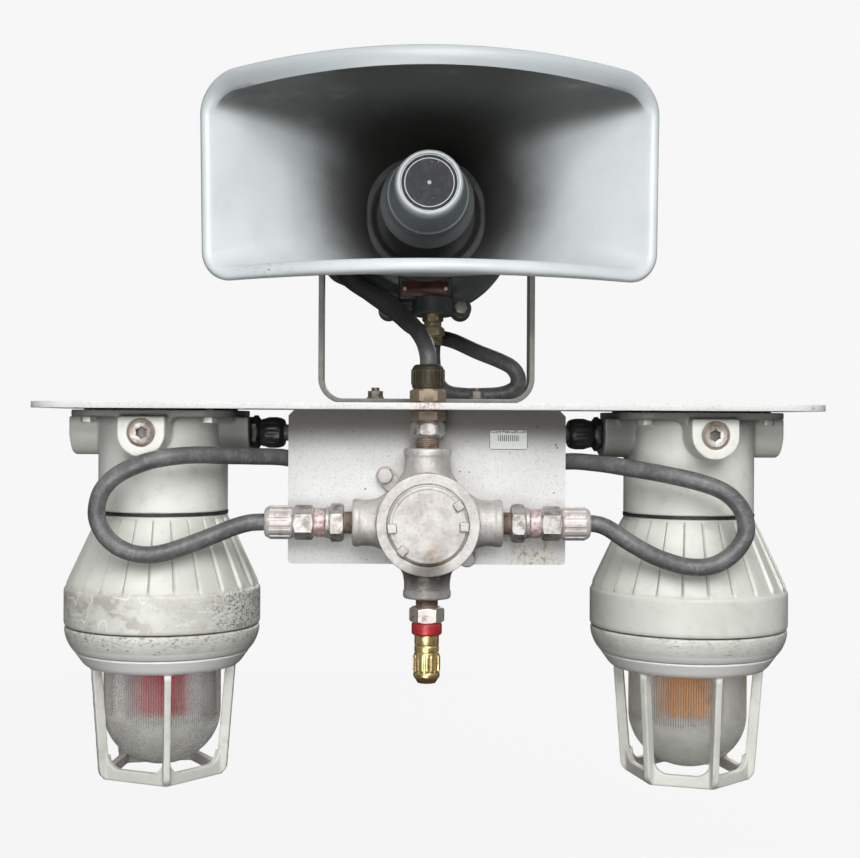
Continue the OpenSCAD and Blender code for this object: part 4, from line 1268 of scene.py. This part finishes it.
def make_cover(metal):
    """The screwed cover: a dished disc with a step, and pry lugs in two pairs."""
    profile = rounded([
        (0, 84), (37.6, 84), (37.6, 95.6, 0.4), (37.0, 96.6, 0.6), (35.9, 96.6, 0.3), (35.7, 97.8, 0.3),
        (35.0, 98.5, 0.6), (33.4, 98.5, 0.6), (32.6, 98.0, 0.6), (0, 98.0)])
    solid = Shape().add(turned(profile, 144))
    lug = [(-4.4, -4), (2.6, -4), (3.4, -3.2), (3.4, 3.2), (2.6, 4), (-4.4, 4)]
    for angle in COVER_LUGS:
        place = Matrix.Rotation(math.radians(angle), 4, "Z") @ Matrix.Translation((33.6, 0, 0))
        solid.add(prism(lug, 90, 102), place)
    mesh = bpy.data.meshes.new("box_cover_rough")
    mesh.from_pydata(solid.verts, [], solid.faces)
    mesh.transform(scaled(box_face_matrix()))
    piece = cast("box_cover_casting", mesh, 0.45, 3)
    dress(piece, "cover", metal, "cast_metal", "box_cover")


def fitting(name, parts, material, slot, node, body="station"):
    """One piece from several (section, sides, shape, matrix) solids, for a CAD node."""
    solid = Shape()
    for section, sides, shape, matrix in parts:
        solid.add(turned(section, sides, shape), to_millimetres(matrix))
    dress(solid.make(name), body, material, slot, node)


def hexed(section, flats, matrix, sides=96):
    """A hexagonal solid for fitting()."""
    return section, sides, hexagon(flats), matrix


def ribbed_cap(radius, low, high, bore):
    """Section of a gland's cap, cut finely enough for its grips."""
    wall = radius - 0.9
    return denser(hollow(rounded([
        (radius - 2.6, low), (wall, low + 1, 0.6), (wall, low + 3), (wall, high - 4, 1.5),
        (radius - 2.2, high - 1.4, 1.2), (radius - 4.2, high, 0.8), (bore + 1, high)]), bore), 2)


def make_fittings(steel, rusty, worn, ring, caps, brass, bronze, tan):
    """All that screws into the box: nipples, unions, rings, glands and their caps."""
    sides = (90, 270)
    left, right = box_hub_matrix(270), box_hub_matrix(90)
    down, up = box_hub_matrix(180), upright_matrix()
    bore = 7.5
    nipple = hollow(threads(10.6, 57, 77.8), bore)
    parts = [(nipple, 48, None, box_hub_matrix(turn)) for turn in (90, 180, 270)]
    parts.append((hollow(threads(10.6, -55, -32.2), bore), 48, None, up))
    fitting("nipples_threaded", parts, rusty, "rusty_steel", "conduit_nipples")

    union = hollow(rounded([
        (15.4, 78), (16.9, 78.6, 0.5), (18.2, 81.2), (18.2, 89.5, 0.6), (16.2, 90.4, 0.6),
        (14.6, 91.6, 0.6), (14.6, 94.6, 0.3), (14.2, 95)]), bore)
    nut = hexagon(31.5)
    parts = [(denser(union, 1.5), 144, lambda r, z, a: nut(r, z, a) if z > 78.5 and r > 15 else r,
              box_hub_matrix(turn)) for turn in sides]
    fitting("side_unions_turned", parts, steel, "zinc_steel", "side_unions")
    lower = denser(hex_section(28.5, 78, 93, bore), 1.2)
    fitting("bottom_union_turned", [hexed(lower, 28.5, down, 144)], worn, "rusty_steel", "bottom_union")

    def hoop(radius, low, high):
        return hollow(rounded([(radius - 1.2, low), (radius, low + 1, 0.8), (radius, high - 1, 0.8),
                               (radius - 1.2, high)]), bore)
    parts = [(hoop(13.6, 95, 106), 64, None, box_hub_matrix(turn)) for turn in sides]
    parts.append((hoop(14.2, 93, 104), 64, None, down))
    fitting("gland_rings_turned", parts, ring, "ring_red", "gland_rings")

    for side, place in (("left", left), ("right", right)):
        section = denser(hex_section(28.5, 106, 125, bore), 1.5)
        fitting(side + "_gland_hex", [hexed(section, 28.5, place)], steel, "zinc_steel", side + "_gland_body")
    parts = [(ribbed_cap(15.8, 125, 152, CABLE_R + 0.6), 180, cap_grip(12, 15.8, 126.5, 148, 1.2), place)
             for place in (left, right)]
    fitting("side_caps_ribbed", parts, caps, "zinc_steel", "side_gland_caps")

    reducer = hollow(rounded([
        (12.4, -32), (13.4, -31, 0.8), (16.6, -28.4, 1), (16.6, -21, 1), (14.2, -17.6, 0.6),
        (13, -17.5)]), bore)
    fitting("reducer_turned", [hexed(denser(reducer, 1.5), 30.4, up)], steel, "zinc_steel", "top_reducer")
    locknut = hex_section(29, -17.5, -6, 10.75)
    fitting("top_locknut_hex", [hexed(locknut, 29, up)], rusty, "rusty_steel", "top_locknut")
    stem = hollow([(10.6, -17.4), (10.6, 0.4)], bore)
    body = hex_section(29.5, 0, 13.4, bore)
    fitting("top_gland_hex", [(stem, 48, None, up), hexed(body, 29.5, up)], tan, "bronze", "top_gland_body")
    cap = (ribbed_cap(15.8, 13.4, 36, CABLE_R + 0.6), 240, cap_grip(20, 15.8, 16.5, 32, 1.1), up)
    fitting("top_cap_knurled", [cap], bronze, "bronze", "top_gland_cap")

    barrel = hollow(rounded([
        (11.2, 104), (11.5, 105, 0.3), (11.5, 113), (10.9, 114, 0.5), (11.5, 115, 0.5), (11.5, 119.6, 0.4),
        (11, 120)]), bore)
    fitting("spare_gland_barrel", [(barrel, 64, None, down)], brass, "brass", "bottom_gland_body")
    tail = hollow(rounded([
        (10.4, 120), (11.6, 121, 0.5), (11.6, 124), (11.6, 139, 0.6), (12.4, 140, 0.4), (12.4, 143, 0.8),
        (9.8, 146.6, 1), (9, 148.4, 0.5), (8.4, 149)]), 5.0)
    grip = cap_grip(16, 12.8, 122.5, 139, 1.2)
    fitting("spare_gland_knurl", [(denser(tail, 1.5), 192, grip, down)], brass, "brass", "bottom_gland_cap")


def cap_grip(count, radius, low, high, height):
    """shape() of the grips round a cap: ribs on its wall only, no further out than radius."""
    raised = ribs(count, height, low, high, 0.6)

    def shape(r, z, angle):
        if r < radius - 3.2 or not low < z < high:
            return r
        return min(radius, raised(r, z, angle))
    return shape


# ---- Horn ----

BELL_T = 3.4
NECK_Z, SIDE_Z = -40, 105
MOUTH_W, MOUTH_H, MOUTH_BULGE, LIP, TOP_LIP = 418, 188, 80, 13, 6


def half_wide(u):
    return 60 + (MOUTH_W / 2 - LIP - 60) * u ** 1.6 + 1.5 * u ** 8


def half_high(u):
    return 60 + (MOUTH_H / 2 - LIP + 2 - 60) * u ** 0.9


def quarter(a, b, r, side_cuts=14, corner_cuts=16, top_cuts=30):
    """A quarter of a rectangle with round corners: half its side, the corner, half its top."""
    points = [(a, (b - r) * (k - 0.5) / side_cuts) for k in range(1, side_cuts + 1)]
    for k in range(corner_cuts + 1):
        angle = math.pi / 2 * k / corner_cuts
        points.append((a - r + r * math.cos(angle), b - r + r * math.sin(angle)))
    return points + [((a - r) * (k - 0.5) / top_cuts, b) for k in range(top_cuts, 0, -1)]


def bell_ring(u, grow=0.0, push=0.0):
    a, b = half_wide(u) + grow, half_high(u) + grow
    top = quarter(a, b, 54 - 26 * u - 6 * u ** 5 + grow)
    foot = quarter(a, b, 54 - 26 * u - 12 * u ** 5 + grow)
    loop = top + [(-x, y) for x, y in reversed(top)]
    loop += [(-x, -y) for x, y in foot] + [(x, -y) for x, y in reversed(foot)]
    ring = []
    for x, y in loop:
        bow = 1 - (x / a) ** 2
        thicker = TOP_LIP * u ** 6 * max(0, y / b) * max(0, 1 - grow / LIP)
        ring.append((x * (1 + 0.012 * u * y / b), y * (1 + 5 * u * bow / b) - thicker,
                     NECK_Z + (SIDE_Z - NECK_Z) * u + push + MOUTH_BULGE * u ** 1.6 * bow))
    return ring


def make_bell(paint, inner_paint):
    """The flared bell: an inner wall, a rolled lip and an outer wall."""
    steps = 48
    lip = rounded([(0, 0), (4.6, 2.6, 3), (9.8, 2.6, 3), (12.9, -1.6, 3.4), (12.7, -7.4, 3), (9.6, -11.6, 3),
                   (5.4, -12.8, 1.5), (BELL_T, -11.5)], 3)
    rings = [bell_ring(k / steps) for k in range(steps)]
    rings += [bell_ring(1, grow, push) for grow, push in lip]
    rings += [bell_ring(k / steps, BELL_T) for k in range(steps - 4, -1, -1)]
    n = len(rings[0])
    faces = ring_faces(len(rings), n, len(rings))
    solid = Shape().add(([v for ring in rings for v in ring], faces))
    piece = solid.make("bell_shell", horn_matrix(), 60)
    dress(piece, "horn", paint, "horn_paint", "horn_bell")
    piece.data.materials.append(inner_paint)
    for face in piece.data.polygons:
        face.material_index = int(face.index < steps * n)


BADGE_R = 26
BADGE_FRONT = 95.7


def make_bullet(paint, badge):
    """The bell's centre piece, with its badge recessed in the front."""
    profile = rounded([
        (0, 95), (26.8, 95, 0.2), (27.4, 96.4, 0.4), (29.6, 96.4, 1.2), (31.3, 93.8, 1.5), (33.6, 76, 6),
        (36.4, 57, 4), (37.6, 50.6, 0.8), (39.3, 49.4, 0.8), (39.4, 45.4, 0.8), (38.8, 42, 2), (40.2, 30, 5),
        (46.4, 15.6, 0.6), (43.8, 15, 0.4), (36.5, 31, 5), (34, 56), (31, 74), (28, 92), (0, 92)], 5)
    solid = Shape().add(turned(profile, 128))
    for angle in (90, 210, 330):
        solid.add(brick((16, -1.5, 34), (36, 1.5, 58)), Matrix.Rotation(math.radians(angle), 4, "Z"))
    dress(solid.make("bullet_shell", horn_matrix()), "horn", paint, "horn_paint", "horn_bullet")
    face = BADGE_FRONT - 0.25
    disc = rounded([(0, 94.9), (BADGE_R, 94.9), (BADGE_R, BADGE_FRONT, 0.4),
                    (BADGE_R - 1.2, BADGE_FRONT, 0.4), (BADGE_R - 1.6, face, 0.2), (0, face)])
    dress(turned_object("badge_disc", disc, horn_matrix(), 96), "horn", badge, "nameplate_brown")


def make_driver(enamel, painted_shade, brass):
    """The driver's castings, melted from the CAD solids, and its cable fitting."""
    # The horn base takes a darker copy of the enamel: painted shade deep in the bell's neck.
    for name, node, paint in (("driver_casting", "driver_body", enamel),
                              ("driver_lid_casting", "driver_cover", enamel),
                              ("horn_base_casting", "horn_base", painted_shade)):
        piece = cast(name, copied(node), 1.0, 4)
        dress(piece, "horn", paint, "driver_paint", node)
    place = horn_matrix() @ Matrix.Translation((8 * MM, 0, -66 * MM)) @ TURN_X
    stem = hollow(threads(10, 92, 100.5, 1.6, 0.5), 4)
    nut = hex_section(19, 100, 107, 4)
    neck = hollow(rounded([(8.6, 107), (9, 108, 0.4), (9, 112)]), 4)
    lower = hex_section(21, 112, 122, 4)
    cuff = hollow(rounded([(10, 122), (10.2, 123, 0.3), (10.2, 130, 0.6), (9.4, 131)]), CABLE_R + 0.3)
    fitting("driver_gland", [
        (stem, 48, None, place), hexed(denser(nut, 1.5), 19, place), (neck, 48, None, place),
        hexed(denser(lower, 1.5), 21, place), (cuff, 48, None, place)], brass, "brass", "driver_fitting",
        "horn")


# ---- Label on the back plate ----

def label_box():
    """Lowest and highest corner of the blank label on the back plate."""
    low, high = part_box("back_plate")
    centre = Vector((high.x - 0.0545, low.y, high.z - 0.028))
    half = Vector((0.0182, 0, 0.0096))
    return centre - half, centre + half


def make_label(film):
    low, high = label_box()
    half_w, half_h, r = (high.x - low.x) / 2 / MM, (high.z - low.z) / 2 / MM, 2
    outline = []
    for cx, cy, start in ((1, 1, 0), (-1, 1, 90), (-1, -1, 180), (1, -1, 270)):
        for k in range(6):
            angle = math.radians(start + 18 * k)
            outline.append((cx * (half_w - r) + r * math.cos(angle), cy * (half_h - r) + r * math.sin(angle)))
    centre = (low + high) / 2
    solid = Shape().add(prism(outline, -0.1, 0.25))
    piece = solid.make("plate_label", Matrix.Translation(centre) @ TURN_X)
    dress(piece, "station", film, "film")


# ---- Everything ----

bpy.context.scene.view_settings.view_transform = "Standard"
make_camera()
rubber = cable_rubber()
make_cables(rubber)
make_world()
make_floor()
for light in LIGHTS:
    area_light(*light)

white, pale, scuffed = shelf_paint(), strobe_paint(), scuffed_paint()
hooded, caged = hood_paint(), guard_paint()
blue_grey, cast_grey = horn_paint(), cast_metal()
# Dark green enamel for the driver, made darker still as painted shade under the bell.
driver_enamel = dark_enamel("driver_paint", (0.045, 0.056, 0.050), (0.22, 0.235, 0.22), 0.55)
yoke_enamel = dark_enamel("yoke_paint", (0.19, 0.195, 0.172), (0.34, 0.34, 0.31), 0.35)
zinc = plated("zinc_steel", (0.56, 0.54, 0.52), (0.30, 0.26, 0.225), 0.6, 0.45, (0.44, 0.62), 0.18)
bolt_steel = plated("bolt_steel", (0.22, 0.20, 0.17), (0.09, 0.07, 0.05), 0.5, 0.5)
ear_bolt_steel = plated("box_bolt_steel", (0.40, 0.375, 0.36), (0.27, 0.24, 0.22), 0.35, 0.55)
pale_cap = plated("pale_cap", (0.62, 0.575, 0.555), (0.42, 0.365, 0.335), 0.35, 0.5)
rusty = plated("rusty_steel", (0.26, 0.20, 0.155), (0.12, 0.075, 0.045), 0.45, 0.6, depth=0.3)
union_steel = plated("union_steel", (0.52, 0.49, 0.46), (0.25, 0.19, 0.14), 0.7, 0.4)
tan = plated("tan_bronze", (0.19, 0.145, 0.092), (0.12, 0.07, 0.045), 0.4, 0.5)
bronze = plated("bronze", (0.055, 0.046, 0.027), (0.035, 0.028, 0.015), 0.5, 0.5)
ring_metal, brass = red_ring(), brass_cap()
nylon = plain_rubber("black_nylon", (0.012, 0.012, 0.012), 0.4)
seal = plain_rubber("seal_rubber", (0.02, 0.02, 0.02), 0.6)
glass = globe_glass()

for strobe in STROBES:
    make_housing(strobe, scuffed if strobe == "left" else pale)
    make_lens_ring(strobe, ring_paint(strobe + "_ring_paint", strobe))
    make_guard(strobe, caged)
    make_globe(strobe, glass)
    make_hood(strobe, hooded)
for strobe, slot, tone, deep, glow in (
        ("left", "red_lens", (0.62, 0.01, 0.05), (0.42, 0.005, 0.03), 0.38),
        ("right", "amber_lens", (0.90, 0.40, 0.01), (0.72, 0.27, 0.005), 0.26)):
    make_color_lens(strobe, colour_lens(slot, tone, deep, glow), slot)
make_plugs(zinc, rusty)
make_hood_glands(nylon)
make_box(cast_grey)
make_cover(cast_grey)
make_fittings(zinc, rusty, union_steel, ring_metal, pale_cap, brass, bronze, tan)
make_bell(blue_grey, horn_paint("horn_paint_inside", inside=True))
make_bullet(horn_paint("bullet_paint", bullet=True), badge_print())
# The horn base's enamel is a near-black copy of the driver's, as painted shade in the bell's neck.
make_driver(driver_enamel, dark_enamel("shaded_base_enamel", (0.020, 0.022, 0.020), (0.06, 0.06, 0.055), 0.3, 0.55),
            plated("driver_gland_bronze", (0.34, 0.28, 0.16), (0.09, 0.07, 0.04), 0.7, 0.35))
make_label(sticker_print())

for node, width, material, slot, body in (
        ("shelf_plate", 0.7, white, "shelf_paint", "station"),
        ("back_plate", 0.5, white, "shelf_paint", "station"),
        ("yoke", 1.0, yoke_enamel, "yoke_paint", "station"),
        ("yoke_bolts", 0.5, bolt_steel, "zinc_steel", "station"),
        ("hood_screws", 0.5, zinc, "zinc_steel", "station"),
        ("box_bolts", 0.5, ear_bolt_steel, "zinc_steel", "station"),
        ("driver_bolts", 0.5, bolt_steel, "rusty_steel", "horn"),
        ("driver_nameplate", 0.2, nameplate_metal(), "nameplate_brown", "horn")):
    dress(softened(node + "_soft", node, width), body, material, slot, node)

INNER = {
    "seal_rubber": seal,
    "board_green": circuit_board(),
    "ceramic": ceramic("ceramic", (0.74, 0.73, 0.70)),
    "tube_glass": ceramic("tube_glass", (0.80, 0.80, 0.76), 0.2),
    "magnet_steel": plated("magnet_steel", (0.22, 0.22, 0.235), (0.14, 0.12, 0.11), 0.7, 0.4),
    "film": ceramic("film", (0.60, 0.54, 0.40)),
    "black_nylon": nylon,
    "zinc_steel": zinc,
}
slot_of = {part["node"]: part["material_slot"] for part in frame["record"]["subparts"]}
for name, node in frame["nodes"].items():
    if not node.hide_render and slot_of[name] in INNER:
        node.data.materials.clear()
        node.data.materials.append(INNER[slot_of[name]])
